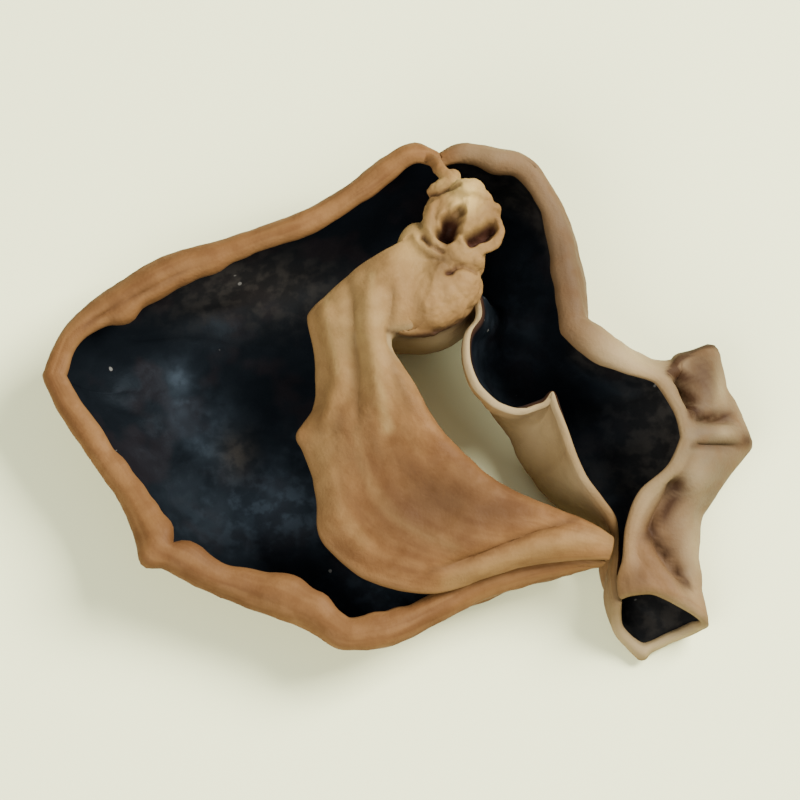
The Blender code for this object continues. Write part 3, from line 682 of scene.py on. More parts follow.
def near_line(spots: Array, path: Array) -> tuple[Array, Array]:
    """How far spots are from a line of straight runs.

    Args:
        spots: Places in the drawing.
        path: The line's corners.

    Returns:
        Each spot's distance, and how far along the line its nearest point is, from 0 to 1.
    """
    best = np.full(spots.shape[:-1], np.inf)
    place = np.zeros(spots.shape[:-1])
    for k, (a, b) in enumerate(zip(path, path[1:])):
        run = b - a
        t = held(((spots - a) @ run) / (run @ run))
        away = np.linalg.norm(spots - (a + t[..., None] * run), axis=-1)
        closer = away < best
        best = np.where(closer, away, best)
        place = np.where(closer, (k + t) / (len(path) - 1), place)
    return best, place


def between(places: Places, limits: Pair, soft: float = 0.5) -> Array:
    """1 inside the limits and 0 outside, with a soft step at each.

    Args:
        places: Places along the sheet or across it.
        limits: The lower and the upper limit.
        soft: How wide the steps are. The step at BESIDE has a width of its own.

    Returns:
        For each place, a number from 0 to 1.
    """
    low, high = limits
    rise = held((places - low) / (BESIDE_STEP if low == BESIDE else soft) + 0.5)
    return rise * held((high - places) / soft + 0.5)


def within(mark: Crease | Pull | Stain | Stroke, rows: Places, columns: Places) -> Array:
    """How far places on the sheet lie inside a mark's limits, from 0 to 1."""
    return between(rows, mark.along) * between(columns, mark.across)


def stained(spots: Array, rows: Places, columns: Places, stains: tuple[Stain | Stroke, ...]) -> Array:
    """How strongly a set of stains shows.

    Args:
        spots: Places in the drawing.
        rows: Their places along the sheet, counted in stations.
        columns: Their places across it, counted in points of a section.
        stains: The stains.

    Returns:
        For each spot, a number from 0 to 1, or to the strength of the strongest stain where that is more.
    """
    values = np.zeros(spots.shape[:-1])
    for stain in stains:
        values = np.maximum(values, stain.strength * stain.nearness(spots) * within(stain, rows, columns))
    return values


def only(obj: Object) -> None:
    """Makes this the only object that is selected, and the active one.

    Args:
        obj: The object.
    """
    bpy.ops.object.select_all(action="DESELECT")
    obj.select_set(True)
    bpy.context.view_layer.objects.active = obj


def apply_modifiers(obj: Object) -> None:
    """Applies every modifier of the object, in order.

    Args:
        obj: The object.
    """
    only(obj)
    for modifier in list(obj.modifiers):
        bpy.ops.object.modifier_apply(modifier=modifier.name)


def rename(obj: Object, name: str) -> None:
    """Gives the object and its mesh this name."""
    obj.name = name
    obj.data.name = name


def smooth(obj: Object) -> None:
    """Shades the object smooth."""
    only(obj)
    bpy.ops.object.shade_smooth()


def write_points(mesh: Mesh, points: Array) -> None:
    """Gives the mesh's vertices these places, which are in millimetres."""
    mesh.vertices.foreach_set("co", (points * MM).astype(np.float32).ravel())
    mesh.update()


def read_vectors(items: bpy.types.bpy_prop_collection, name: str) -> Array:
    """The vectors that a mesh's items hold.

    Args:
        items: The items, such as the mesh's vertices.
        name: The name that each item holds its vector under.

    Returns:
        One row of three numbers for each item.
    """
    flat = np.empty(len(items) * 3, np.float32)
    items.foreach_get(name, flat)
    return flat.reshape(-1, 3).astype(float)


def read_points(mesh: Mesh) -> Array:
    """The places of the mesh's vertices, in millimetres."""
    return read_vectors(mesh.vertices, "co") / MM


def read_normals(mesh: Mesh) -> Array:
    """The directions that the mesh's vertices face."""
    return read_vectors(mesh.vertex_normals, "vector")


def write_attribute(mesh: Mesh, name: str, values: Array) -> None:
    """Stores one number for each vertex under this name."""
    layer = mesh.attributes.new(name, "FLOAT", "POINT")
    layer.data.foreach_set("value", values.astype(np.float32).ravel())


class Wiring:
    """Adds nodes to one node tree and joins them."""

    def __init__(self, tree: NodeTree) -> None:
        """Starts on a tree that may already hold nodes."""
        self.tree = tree

    def node(self, kind: str, **inputs: object) -> Node:
        """A new node.

        Args:
            kind: The node's type, without ShaderNode.
            inputs: Values or sockets for its inputs, by name with _ for a space, or the node's own settings.

        Returns:
            The node.
        """
        made = self.tree.nodes.new(f"ShaderNode{kind}")
        names = {key: key.replace("_", " ") for key in inputs}
        for key in [key for key in inputs if names[key] not in made.inputs]:
            setattr(made, key, inputs.pop(key))
        for key, value in inputs.items():
            self.feed(made.inputs[names[key]], value)
        return made

    def feed(self, socket: Socket, value: object) -> None:
        """Sets a socket to a value, or joins another socket to it.

        Args:
            socket: The socket that is fed.
            value: The value, or the socket that it comes from.
        """
        if isinstance(value, Socket):
            self.tree.links.new(value, socket)
        else:
            socket.default_value = value

    def math(self, operation: str, *values: object, kind: str = "Math", **settings: object) -> Socket:
        """The result of a sum of numbers, or of vectors.

        Args:
            operation: The sum's name.
            values: Its values or sockets.
            kind: Math, or VectorMath for vectors.
            settings: Settings of the node itself.

        Returns:
            The socket that gives the result.
        """
        made = self.node(kind, operation=operation, **settings)
        for socket, value in zip(made.inputs, values):
            self.feed(socket, value)
        return made.outputs[0]

    def blend(self, factor: object, first: object, second: object) -> Socket:
        """Two colours mixed by a factor.

        Args:
            factor: How much of the second colour there is.
            first: The first colour.
            second: The second colour.

        Returns:
            The socket that gives the mixed colour.
        """
        made = self.node("Mix", data_type="RGBA")
        for index, value in zip(MIX_INPUTS, (factor, first, second)):
            self.feed(made.inputs[index], value)
        return made.outputs[MIX_RESULT]

    def attribute(self, name: str) -> Socket:
        """The number stored on the mesh under this name."""
        return self.node("Attribute", attribute_name=name).outputs["Fac"]

    def group(self, tree: NodeTree, **inputs: object) -> Socket:
        """What a node group puts out.

        Args:
            tree: The group.
            inputs: Values or sockets for its inputs.

        Returns:
            The group's one output.
        """
        made = self.tree.nodes.new("ShaderNodeGroup")
        made.node_tree = tree
        for key, value in inputs.items():
            self.feed(made.inputs[key], value)
        return made.outputs[0]


def new_group(name: str, inputs: dict[str, float], output: str) -> tuple[Wiring, Node, Node]:
    """An empty shader node group.

    Args:
        name: The group's name.
        inputs: Its number inputs with their values.
        output: The name of its one number output.

    Returns:
        The wiring of the group, its input node and its output node.
    """
    tree = bpy.data.node_groups.new(name, "ShaderNodeTree")
    for key, value in inputs.items():
        tree.interface.new_socket(key, in_out="INPUT", socket_type="NodeSocketFloat").default_value = value
    tree.interface.new_socket(output, in_out="OUTPUT", socket_type="NodeSocketFloat")
    return Wiring(tree), tree.nodes.new("NodeGroupInput"), tree.nodes.new("NodeGroupOutput")


class Effects:
    """The shader node groups that the finishes share."""

    def __init__(self) -> None:
        """Builds each group once."""
        self.patches = self.make_patches()
        self.streaks = self.make_streaks()
        self.nap = self.make_nap()

    @staticmethod
    def masked(wiring: Wiring, given: Node, result: Node, **cloud: object) -> NodeTree:
        """Ends a group with noise that is made a mask by a soft step from its input Low to its input High.

        Args:
            wiring: The group's wiring.
            given: Its input node.
            result: Its output node.
            cloud: The inputs of the noise.

        Returns:
            The group.
        """
        step = wiring.node(
            "MapRange",
            interpolation_type="SMOOTHSTEP",
            From_Min=given.outputs["Low"],
            From_Max=given.outputs["High"],
            Value=wiring.node("TexNoise", **cloud).outputs["Fac"],
        )
        wiring.feed(result.inputs["Mask"], step.outputs["Result"])
        return wiring.tree

    @staticmethod
    def make_patches() -> NodeTree:
        """Soft patches of one colour on another, as a mask.

        Returns:
            The group.
        """
        inputs = {"Scale": 200.0, "Detail": 4.0, "Low": 0.4, "High": 0.6, "Shift": 0.0}
        wiring, given, result = new_group("soft patches", inputs, "Mask")
        scale, detail, shift = (given.outputs[name] for name in ("Scale", "Detail", "Shift"))
        move = wiring.node("CombineXYZ", X=shift, Y=shift).outputs[0]
        place = wiring.math("ADD", wiring.node("TexCoord").outputs["Object"], move, kind="VectorMath")
        return Effects.masked(wiring, given, result, Vector=place, Scale=scale, Detail=detail)

    @staticmethod
    def make_streaks() -> NodeTree:
        """Streaks that run along the sheet beside its rim, as a mask. They read the sheet's own map.

        Returns:
            The group.
        """
        inputs = {"Along": 7.0, "Across": 60.0, "Low": 0.4, "High": 0.62}
        wiring, given, result = new_group("streaks along", inputs, "Mask")
        scale = wiring.node("CombineXYZ", X=given.outputs["Across"], Y=given.outputs["Along"]).outputs[0]
        place = wiring.math("MULTIPLY", wiring.node("TexCoord").outputs["UV"], scale, kind="VectorMath")
        return Effects.masked(wiring, given, result, Vector=place, Scale=1.0, Detail=3.0)

    @staticmethod
    def make_nap() -> NodeTree:
        """The fine nap and pores of a dry skin, as a height from 0 to 1.

        Returns:
            The group.
        """
        inputs = {"Grain": 2600.0, "Pucker": 900.0, "Share": 0.5}
        wiring, given, result = new_group("dry nap", inputs, "Height")
        place = wiring.node("TexCoord").outputs["Object"]
        grain = wiring.node("TexNoise", Scale=given.outputs["Grain"], Detail=2.0, Vector=place)
        pucker = wiring.node("TexNoise", Scale=given.outputs["Pucker"], Detail=3.0, Vector=place)
        rest = wiring.math("SUBTRACT", 1.0, given.outputs["Share"])
        fine = wiring.math("MULTIPLY", grain.outputs["Fac"], given.outputs["Share"])
        height = wiring.math("MULTIPLY_ADD", pucker.outputs["Fac"], rest, fine)
        wiring.feed(result.inputs["Height"], height)
        return wiring.tree


def new_material(name: str) -> tuple[Material, Wiring, Node]:
    """A material with its wiring and its Principled shader.

    Args:
        name: The material's name.

    Returns:
        The material, its wiring and its shader.
    """
    material = bpy.data.materials.new(name)
    material.use_nodes = True
    return material, Wiring(material.node_tree), material.node_tree.nodes["Principled BSDF"]


@dataclass(frozen=True)
class Surfacing:
    """How a skin takes the light.

    Attributes:
        specular: The specular level.
        rough: The least roughness.
        rougher: What the fine patches add to it.
        bump: The strength of the nap.
        depth: The depth of the nap, in metres.
    """

    specular: float
    rough: float
    rougher: float
    bump: float
    depth: float = 0.0002

    def dress(self, wiring: Wiring, shader: Node, fine: Socket, nap: object) -> None:
        """Sets the shader's gloss and its bump.

        Args:
            wiring: The material's wiring.
            shader: Its shader.
            fine: The fine patches, as a mask.
            nap: The nap's height.
        """
        shader.inputs["Specular IOR Level"].default_value = self.specular
        wiring.feed(shader.inputs["Roughness"], wiring.math("MULTIPLY_ADD", fine, self.rougher, self.rough))
        bump = wiring.node("Bump", Strength=self.bump, Distance=self.depth, Height=nap)
        wiring.feed(shader.inputs["Normal"], bump.outputs[0])


@dataclass(frozen=True)
class DarkSkin:
    """The inside of the ear: nearly black, satin, with a bluish bloom in patches.

    Its bluish patches are partly the skin's own and partly painted reflection, with painted light where the
    floor lies in shade; on the upper left wall its ash tone is a painted reflection. A share says how much of
    a tone is mixed in. Where it has two numbers, the second is for the fine patches.
    """

    ground: Tone = Tone(9, 12, 15)
    bloom_and_sheen: Tone = Tone(52, 61, 69)
    plum: Tone = Tone(28, 21, 22)
    # Greyish; on the broad lobe's upper left wall it is a painted reflection.
    ash: Tone = Tone(60, 56, 51)
    edge: Tone = Tone(44, 28, 18)
    dust: Tone = Tone(150, 148, 140)
    sheen: Tone = Tone(205, 232, 255)
    bloom_and_sheen_share: tuple[float, float, float] = (0.22, 0.32, 0.4)
    ash_share: Pair = (0.3, 0.5)
    plum_share: float = 0.35
    dust_share: float = 0.35
    edge_falloff: float = 3.0
    surfacing: Surfacing = Surfacing(specular=0.035, rough=0.46, rougher=0.16, bump=0.35)

    def material(self, effects: Effects) -> Material:
        """The finish as a material.

        Args:
            effects: The shared node groups.

        Returns:
            The material.
        """
        material, wiring, shader = new_material("dark_skin")
        broad = wiring.group(effects.patches, Scale=150.0, Detail=3.0, Low=0.46, High=0.68)
        fine = wiring.group(effects.patches, Scale=620.0, Detail=4.0, Low=0.42, High=0.66, Shift=0.3)
        plum = wiring.group(effects.patches, Scale=190.0, Detail=2.0, Low=0.5, High=0.66, Shift=0.7)
        dust = wiring.group(effects.patches, Scale=900.0, Detail=0.0, Low=0.84, High=0.88, Shift=0.9)
        always, for_fine, for_broad = self.bloom_and_sheen_share
        bloom_and_sheen = wiring.math("MULTIPLY_ADD", fine, for_fine, always)
        bloom_and_sheen = wiring.math("MULTIPLY_ADD", broad, for_broad, bloom_and_sheen)
        always, for_fine = self.ash_share
        ash = wiring.math("MULTIPLY_ADD", fine, for_fine, always)
        colour = self.ground.linear()
        for share, tone in (
            (wiring.math("MULTIPLY", plum, self.plum_share), self.plum),
            (wiring.math("MULTIPLY", bloom_and_sheen, wiring.attribute("bloom_and_sheen"), use_clamp=True), self.bloom_and_sheen),
            (wiring.math("MULTIPLY", wiring.attribute("ash"), ash), self.ash),
            (wiring.math("POWER", wiring.attribute("rim"), self.edge_falloff), self.edge),
            (wiring.math("MULTIPLY", dust, self.dust_share), self.dust),
        ):
            colour = wiring.blend(share, colour, tone.linear())
        wiring.feed(shader.inputs["Base Color"], colour)
        shader.inputs["Specular Tint"].default_value = self.sheen.linear()
        nap = wiring.group(effects.nap, Grain=1800.0, Pucker=520.0, Share=0.3)
        self.surfacing.dress(wiring, shader, fine, nap)
        return material


@dataclass(frozen=True)
class TanSkin:
    """The outside of the ear: tan and dry, creamier by the foot, greyer on the pouch, paler at a thin edge.

    The torn foot has the same skin, with its own pale crests and the painted shade of its pits. Its creamy
    tone also gives painted highlights on ribs and rolls, its brown tone painted shade in creases and hollows,
    and its paler tone painted highlights on ridges and painted light on a wall in shade. A share says how
    much of a tone is mixed in. Where it has two numbers, the second is for the fine patches.
    """

    ground: Tone = Tone(105, 72, 38)
    shade: Tone = Tone(76, 46, 20)
    light: Tone = Tone(127, 93, 55)
    # Cream, which also stands for painted highlights on the flap's ribs and roll.
    cream_and_highlight: Tone = Tone(134, 109, 67)
    # Brown, which also stands for painted shade in creases, hollows and undercuts.
    umber_and_shade: Tone = Tone(50, 31, 14)
    ash: Tone = Tone(88, 74, 54)
    edge: Tone = Tone(98, 76, 42)
    crest: Tone = Tone(170, 143, 86)
    # Pale, which also stands for painted highlights on the pouch's ridges and painted light on a wall in
    # shade.
    pale: Tone = Tone(158, 140, 104)
    # The painted shade in the foot's pits.
    pit_shade: Tone = Tone(50, 26, 14)
    shade_share: Pair = (0.55, 0.3)
    light_share: float = 0.36
    stain_share: Pair = (0.95, -0.2)
    edge_share: float = 0.4
    surfacing: Surfacing = Surfacing(specular=0.14, rough=0.66, rougher=0.12, bump=0.5)

    def material(self, effects: Effects, name: str, torn: bool) -> Material:
        """The finish as a material.

        Args:
            effects: The shared node groups.
            name: The material's name.
            torn: Whether this is the torn foot, with crests and the painted shade of its pits.

        Returns:
            The material.
        """
        material, wiring, shader = new_material(name)
        broad = wiring.group(effects.patches, Scale=140.0, Detail=3.0, Low=0.4, High=0.66)
        fine = wiring.group(effects.patches, Scale=520.0, Detail=5.0, Low=0.42, High=0.66, Shift=0.4)
        for_broad, for_fine = self.shade_share
        layers = [(wiring.math("MULTIPLY", broad, for_broad), self.shade)]
        if not torn:
            streak = wiring.group(effects.streaks, Along=14.0, Across=42.0)
            layers.append((wiring.math("MULTIPLY", streak, self.light_share), self.light))
        layers.append((wiring.math("MULTIPLY", fine, for_fine), self.shade))
        always, for_fine = self.stain_share
        for mask, tone in (("ash", self.ash), ("cream_and_highlight", self.cream_and_highlight)):
            share = wiring.math("MULTIPLY_ADD", fine, for_fine, always)
            layers.append((wiring.math("MULTIPLY", wiring.attribute(mask), share), tone))
        for mask, tone in (("crest", self.crest), ("pale", self.pale), ("umber_and_shade", self.umber_and_shade)):
            layers.append((wiring.attribute(mask), tone))
        if torn:
            layers.append((wiring.attribute("pit_shade"), self.pit_shade))
        else:
            layers.append((wiring.math("MULTIPLY", wiring.attribute("rim"), self.edge_share), self.edge))
        colour = self.ground.linear()
        for share, tone in layers:
            colour = wiring.blend(share, colour, tone.linear())
        wiring.feed(shader.inputs["Base Color"], colour)
        nap = wiring.group(effects.nap, Grain=3000.0, Pucker=800.0, Share=0.55)
        self.surfacing.dress(wiring, shader, fine, nap)
        return material


@dataclass(frozen=True)
class StageFinish:
    """The pale floor, a touch dimmer in broad patches. Their pattern takes the floor as one unit wide."""

    floor: Tone = Tone(242, 247, 196)
    dimmer: float = 0.97
    rough: float = 0.5

    def material(self) -> Material:
        """The finish as a material.

        Returns:
            The material.
        """
        material, wiring, shader = new_material("pale_floor")
        place = wiring.node("TexCoord").outputs["Object"]
        moved = wiring.node("Mapping", Vector=place, Location=(0.5, 0.5, 0.5), Scale=(0.25, 0.25, 1.0))
        cloud = wiring.node("TexNoise", Vector=moved.outputs[0], Scale=3.0, Detail=2.0).outputs["Fac"]
        tone = self.floor.linear()
        dim = (*[self.dimmer * part for part in tone[:3]], 1.0)
        wiring.feed(shader.inputs["Base Color"], wiring.blend(cloud, tone, dim))
        shader.inputs["Roughness"].default_value = self.rough
        return material


@dataclass(frozen=True)
class Surface:
    """The sheet's middle surface.

    Attributes:
        points: Its grid of points.
        along: Each row's place along the sheet, counted in stations.
        across: Each column's place across it, counted in points of a section.
    """

    points: Array
    along: Array
    across: Array

    @property
    def rows(self) -> Array:
        """The rows' places, as a column that spreads over the grid."""
        return self.along[:, None]

    @property
    def columns(self) -> Array:
        """The columns' places, as a row that spreads over the grid."""
        return self.across[None, :]

    def facing(self) -> Array:
        """The direction that the tan skin faces, at each point."""
        facing = np.cross(np.gradient(self.points, axis=0), np.gradient(self.points, axis=1))
        return facing / np.maximum(np.linalg.norm(facing, axis=-1, keepdims=True), TINY)

    def edge_distance(self) -> Array:
        """How far each point is from the sheet's free edge, along the sheet.

        Returns:
            The distances, in millimetres.
        """
        nearest = np.full(self.points.shape[:2], np.inf)
        for axis in (0, 1):
            steps = np.linalg.norm(np.diff(self.points, axis=axis), axis=-1)
            run = np.cumsum(np.insert(steps, 0, 0.0, axis=axis), axis=axis)
            whole = np.take(run, [-1], axis=axis)
            nearest = np.minimum(nearest, np.minimum(run, whole - run))
        return nearest

    def strips(self, along: float, across: float) -> Array:
        """Places for noise that runs in strips, where a station and a section's point are this long."""
        return np.stack(np.broadcast_arrays(self.rows * along, self.columns * across, 0.0), axis=-1)


@dataclass(frozen=True)
class Cut:
    """A cut through the sheet at one station.

    Attributes:
        inward: The level direction that points to the inside.
        lip_share: How much of its drawn width the lip rolls round.
        lip_rise: How high a rolled lip stands, for its width. A bent one has bent_rise.
        curl: How far the inner wall's edge hooks over.
        wide_at: How high up the outer wall its widest part lies, as a share of the wall.
        inset: How far in that part lies beside the flap, and the floor's corner elsewhere, as a share of the
            floor's width.
    """

    station: Station
    rim: Array
    inner: Array
    inward: Array
    lip_share: float = 0.8
    lip_rise: float = 0.75
    bent_rise: float = 0.2
    curl: float = 1.1
    wide_at: float = 0.45
    inset: float = 0.12

    def chain(self) -> list[Array]:
        """The section's points, from the free end of the lip to the inner free edge.

        Returns:
            The points.
        """
        if self.station.section is not None:
            return [drawn(point) for point in self.station.section]
        last = self.hook() if self.station.flap is None else self.flap()
        return [*self.lip(), self.rim, *self.walls(), *last]

    def foot(self) -> Array:
        """The foot of the inner wall.

        Returns:
            Its place, as drawn or as the station's heel gives it.
        """
        if self.station.foot is not None:
            return drawn((*self.station.foot, self.station.floor))
        return self.inner - level(self.inner - self.rim) * self.station.heel

    def lip(self) -> list[Array]:
        """The lip, which rolls over to the inside, or only bends over it.

        Returns:
            The points, from the free end up to the rim.
        """
        points = []
        for share in (1, 2 / 3, 1 / 3):
            angle = math.radians(self.station.roll * share)
            turn = (1 - math.cos(angle)) * self.inward + self.lip_rise * math.sin(angle) * UP
            if self.station.roll == BENT:
                turn = share * self.inward + self.bent_rise * math.sin(angle) * UP
            points.append(self.rim + self.lip_share * self.station.lip * turn)
        return points

    def walls(self) -> list[Array]:
        """The outer wall, the floor and the inner wall.

        Returns:
            The points, from below the rim up to the inner edge.
        """
        station, rim, inner, foot = self.station, self.rim, self.inner, self.foot()
        floor, height, crest = station.floor, rim[2], inner[2]
        reach = foot - rim
        if station.wide is not None:
            widest = drawn((*station.wide, floor + self.wide_at * (height - floor)))
        elif station.flap is not None:
            widest = rim + self.inward * self.inset * np.linalg.norm(reach[:2])
        else:
            widest = rim - self.inward * station.belly
        corner = widest + reach * self.inset if station.flap is None else rim + reach * 0.3
        return [
            self.at(widest, self.wide_at, height),
            self.at(corner, 0.08, height),
            self.at(rim + reach * 0.6, 0.0, height),
            self.at(foot, 0.12, crest),
            self.at(inner + (foot - inner) * 0.35, 0.6, crest),
            inner,
        ]

    def at(self, point: Array, share: float, top: float) -> Array:
        """The point moved to this share of the way from the floor to the top."""
        return np.array([point[0], point[1], self.station.floor + share * (top - self.station.floor)])

    def flap(self) -> list[Array]:
        """The fold at the top of the inner wall, and the flap that comes back over the floor.

        Returns:
            The points, from beyond the inner edge to the flap's free edge.
        """
        width = drawn(self.station.flap) - self.inner
        fold = min(1.0, float(np.linalg.norm(width)) / 6.0)
        points = [self.inner + fold * (level(width) * 0.9 + UP * 1.1)]
        for share, rise in ((0.5, 1.6), (0.85, 0.9), (1.0, 0.0)):
            points.append(self.inner + width * share + fold * UP * rise)
        return points

    def hook(self) -> list[Array]:
        """The inner wall's edge beside the narrow lobe, which hooks over to the outside.

        Returns:
            The points, from beyond the inner edge to the free edge.
        """
        back = -level(self.foot() - self.rim)
        points = []
        for share in (0.25, 0.5, 0.75, 1.0):
            angle = share * self.station.hook
            turn = (1 - math.cos(angle)) * back + math.sin(angle) * UP
            points.append(self.inner + self.curl / self.station.hook * turn)
        return points


# Each vertex's row and column on the sheet's grid.
Order = tuple[Array, Array]


@dataclass
class CurledSheet:
    """The curled sheet of the ear, from the tip of the broad lobe to the open end of the narrow lobe.

    Attributes:
        thickness: The thickness of most of the sheet. thin_share of it is left where the real sheet is thin,
            and edge_share at the rounded free edge.
        along_step: About how far apart the rows lie, at most.
        end_steps: Where the extra rows beside both ends lie, in stations.
        across_parts: How many columns each part of a section has.
        waver: How far the whole sheet wavers, over waver_length.
        waver_starts: Where the noise for each direction of that is read.
        lip_passes: How often the bent lip's columns are evened out.
        lip_swells: How the lip's width varies. A bent one has bent_swell of that.
        floor_waves: The broad waves of the broad lobe's floor. Elsewhere the floor has floor_calm of them.
        strand_share: How much of the strands the bent lip has.
        lip_edge, calm_width, edge_width: How near the free edge the strands and the puckers fade, and how far
            the edge's tone reaches.
    """

    name: str = "curled_sheet"
    thickness: float = 1.05
    thin_share: float = 0.58
    edge_share: float = 0.16
    along_step: float = 0.6
    end_steps: tuple[float, ...] = (0.03, 0.08, 0.14)
    across_parts: tuple[int, ...] = (7, 5, 5, 12, 7, 17, 20, 9, 8, 4, 12, 9, 8)
    waver: float = 0.35
    waver_length: float = 7.0
    waver_starts: tuple[Point, ...] = ((0.0, 0.0, 0.0), (31.7, 11.3, 5.9), (7.1, 43.9, 23.3))
    lip_passes: int = 30
    lip_swells: tuple[Wave, ...] = (Wave(0.26, 6.0, 5.0), Wave(0.13, 2.4, 9.0))
    bent_swell: float = 0.4
    floor_waves: Wave = Wave(0.42, 6.5, 2.0)
    floor_calm: float = 0.35
    floor_ripples: Wave = Wave(0.2, 2.8, 4.0)
    flap_ripples: Wave = Wave(0.16, 2.4, 9.0)
    lip_strands: Wave = Wave(0.13, 1.0, 21.0)
    strand_share: float = 0.3
    lip_edge: float = 0.8
    calm_width: float = 1.2
    edge_width: float = 0.7
    wall_folds: Wave = Wave(0.45, 1.0, 33.0)
    wall_ripples: Wave = Wave(0.16, 3.0, 17.0)
    all_ripples: Wave = Wave(0.07, 1.4, 6.0)
    dark_puckers: tuple[Wave, ...] = (Wave(0.05, 1.1, 3.0), Wave(0.03, 0.55, 8.0))
    tan_puckers: tuple[Wave, ...] = (Wave(0.06, 1.6, 12.0), Wave(0.035, 0.6, 15.0))

    def build(self, dark: Material, tan: Material) -> Object:
        """Builds the sheet, thickens it and works both of its skins.

        Args:
            dark: The finish of the inside.
            tan: The finish of the outside.

        Returns:
            The sheet.
        """
        surface = self.middle()
        sheet, order = self.grid(surface.points)
        skins = {Side.DARK: dark, Side.TAN: tan}
        for side in Side:
            sheet.data.materials.append(skins[side])
        distance = surface.edge_distance()
        self.thicken(sheet, self.thinned(surface, distance)[order])
        self.roughen(sheet, distance[order])
        self.paint(sheet.data, surface, distance, order)
        return sheet

    def middle(self) -> Surface:
        """The middle surface, lofted through the stations and worked.

        Returns:
            The surface, in the frame's place.
        """
        rims = [drawn(s.rim) for s in STATIONS]
        inners = [drawn(s.inner) for s in STATIONS]
        inwards = self.inward_directions(rims, inners)
        chains = np.array([Cut(*each).chain() for each in zip(STATIONS, rims, inners, inwards)])
        along, across = self.row_places(chains), self.column_places()
        sharp = [s.sharp for s in STATIONS]
        lines = np.stack([spline(chains[:, k], along, sharp) for k in range(chains.shape[1])], axis=1)
        points = np.stack([spline(row, across) for row in lines])
        place = points / self.waver_length
        shifts = [ripple(place + np.array(start), 1.0) for start in self.waver_starts]
        surface = Surface(points + self.waver * np.stack(shifts, axis=-1), along, across)
        surface = self.worked(self.evened(self.wobbled(surface)))
        return replace(surface, points=surface.points + PLACED)

    def row_places(self, chains: Array) -> Array:
        """Where the grid's rows lie.

        Args:
            chains: Each station's chain of points.

        Returns:
            Places along the sheet, counted in stations, with more of them beside both ends.
        """
        reaches = np.linalg.norm(np.diff(chains, axis=0), axis=-1).max(axis=1)
        places = self.samples_of([max(1, round(float(reach) / self.along_step)) for reach in reaches])
        ends = np.array(self.end_steps)
        return np.unique(np.concatenate([places, ends, LAST - ends]))

    def column_places(self) -> Array:
        """Where the grid's columns lie.

        Returns:
            Places across the sheet, counted in points of a section, crowded towards both free edges.
        """
        places = self.samples_of(self.across_parts)
        places = np.where(places < 1, places**2, places)
        return np.where(places > EDGE - 1, EDGE - (EDGE - places) ** 2, places)

    @staticmethod
    def samples_of(parts: tuple[int, ...] | list[int]) -> Array:
        """Places along a chain, counted in points, with each gap cut into its number of parts."""
        return np.array([*[k + i / n for k, n in enumerate(parts) for i in range(n)], len(parts)])

    @staticmethod
    def inward_directions(rims: list[Array], inners: list[Array]) -> list[Array]:
        """The level direction that points to the inside at each station, nearly square to the rim.

        Args:
            rims: Each station's rim.
            inners: Each station's inner edge.

        Returns:
            The directions.
        """
        found = []
        for i, (rim, inner) in enumerate(zip(rims, inners)):
            along = rims[min(i + 1, len(rims) - 1)] - rims[max(i - 1, 0)]
            square = level(np.array([-along[1], along[0], 0.0]))
            across = level(inner - rim)
            if square @ across < 0:
                square = -square
            found.append(level(square + 0.5 * across))
        return found

    def wobbled(self, surface: Surface) -> Surface:
        """The surface with its rolled rim wider here and narrower there.

        Args:
            surface: The surface.

        Returns:
            The changed surface.
        """
        rim = surface.points[:, int(np.searchsorted(surface.across, RIM))]
        size = 1 + sum(wave.over(rim) for wave in self.lip_swells)
        size = np.where(surface.along > POUCH + 1, 1 + self.bent_swell * (size - 1), size)
        on_lip = held(RIM - surface.across)[None, :, None]
        scaled = rim[:, None] + (surface.points - rim[:, None]) * size[:, None, None]
        return replace(surface, points=surface.points + (scaled - surface.points) * on_lip)

    def evened(self, surface: Surface) -> Surface:
        """The surface with the pouch's lip spaced evenly, where its columns lie far closer than the wall's.

        Args:
            surface: The surface.

        Returns:
            The changed surface.
        """
        points = surface.points
        rows = held(np.minimum(surface.along - POUCH, LAST_BENT - surface.along))
        columns = (surface.across >= 1.0) & (surface.across <= RIM + 0.4)
        share = 0.5 * rows[:, None, None] * columns[None, :, None]
        for _ in range(self.lip_passes):
            middle = (np.roll(points, 1, axis=1) + np.roll(points, -1, axis=1)) / 2
            points = points + share * (middle - points)
        return replace(surface, points=points)

    def worked(self, surface: Surface) -> Surface:
        """The surface with its pulls, creases and waves.

        Args:
            surface: The surface.

        Returns:
            The changed surface.
        """
        points = surface.points
        for pull in PULLS:
            away = np.linalg.norm(seen(points) - np.array(pull.centre), axis=-1) / pull.reach
            weight = np.exp(-(away**2)) * within(pull, surface.rows, surface.columns)
            points = points + weight[..., None] * np.array(pull.shift)
        surface = replace(surface, points=points)
        tan = surface.facing()
        spots = seen(points + tan * self.thickness / 2)
        rise = self.waves(surface)
        for crease in CREASES:
            away, place = near_line(spots, smooth_line(crease.path, 6))
            weight = np.exp(-((away / crease.width) ** 2)) * held(np.minimum(place, 1 - place) * 6)
            rise = rise + crease.height * weight * within(crease, surface.rows, surface.columns)
        return replace(surface, points=points + rise[..., None] * tan)

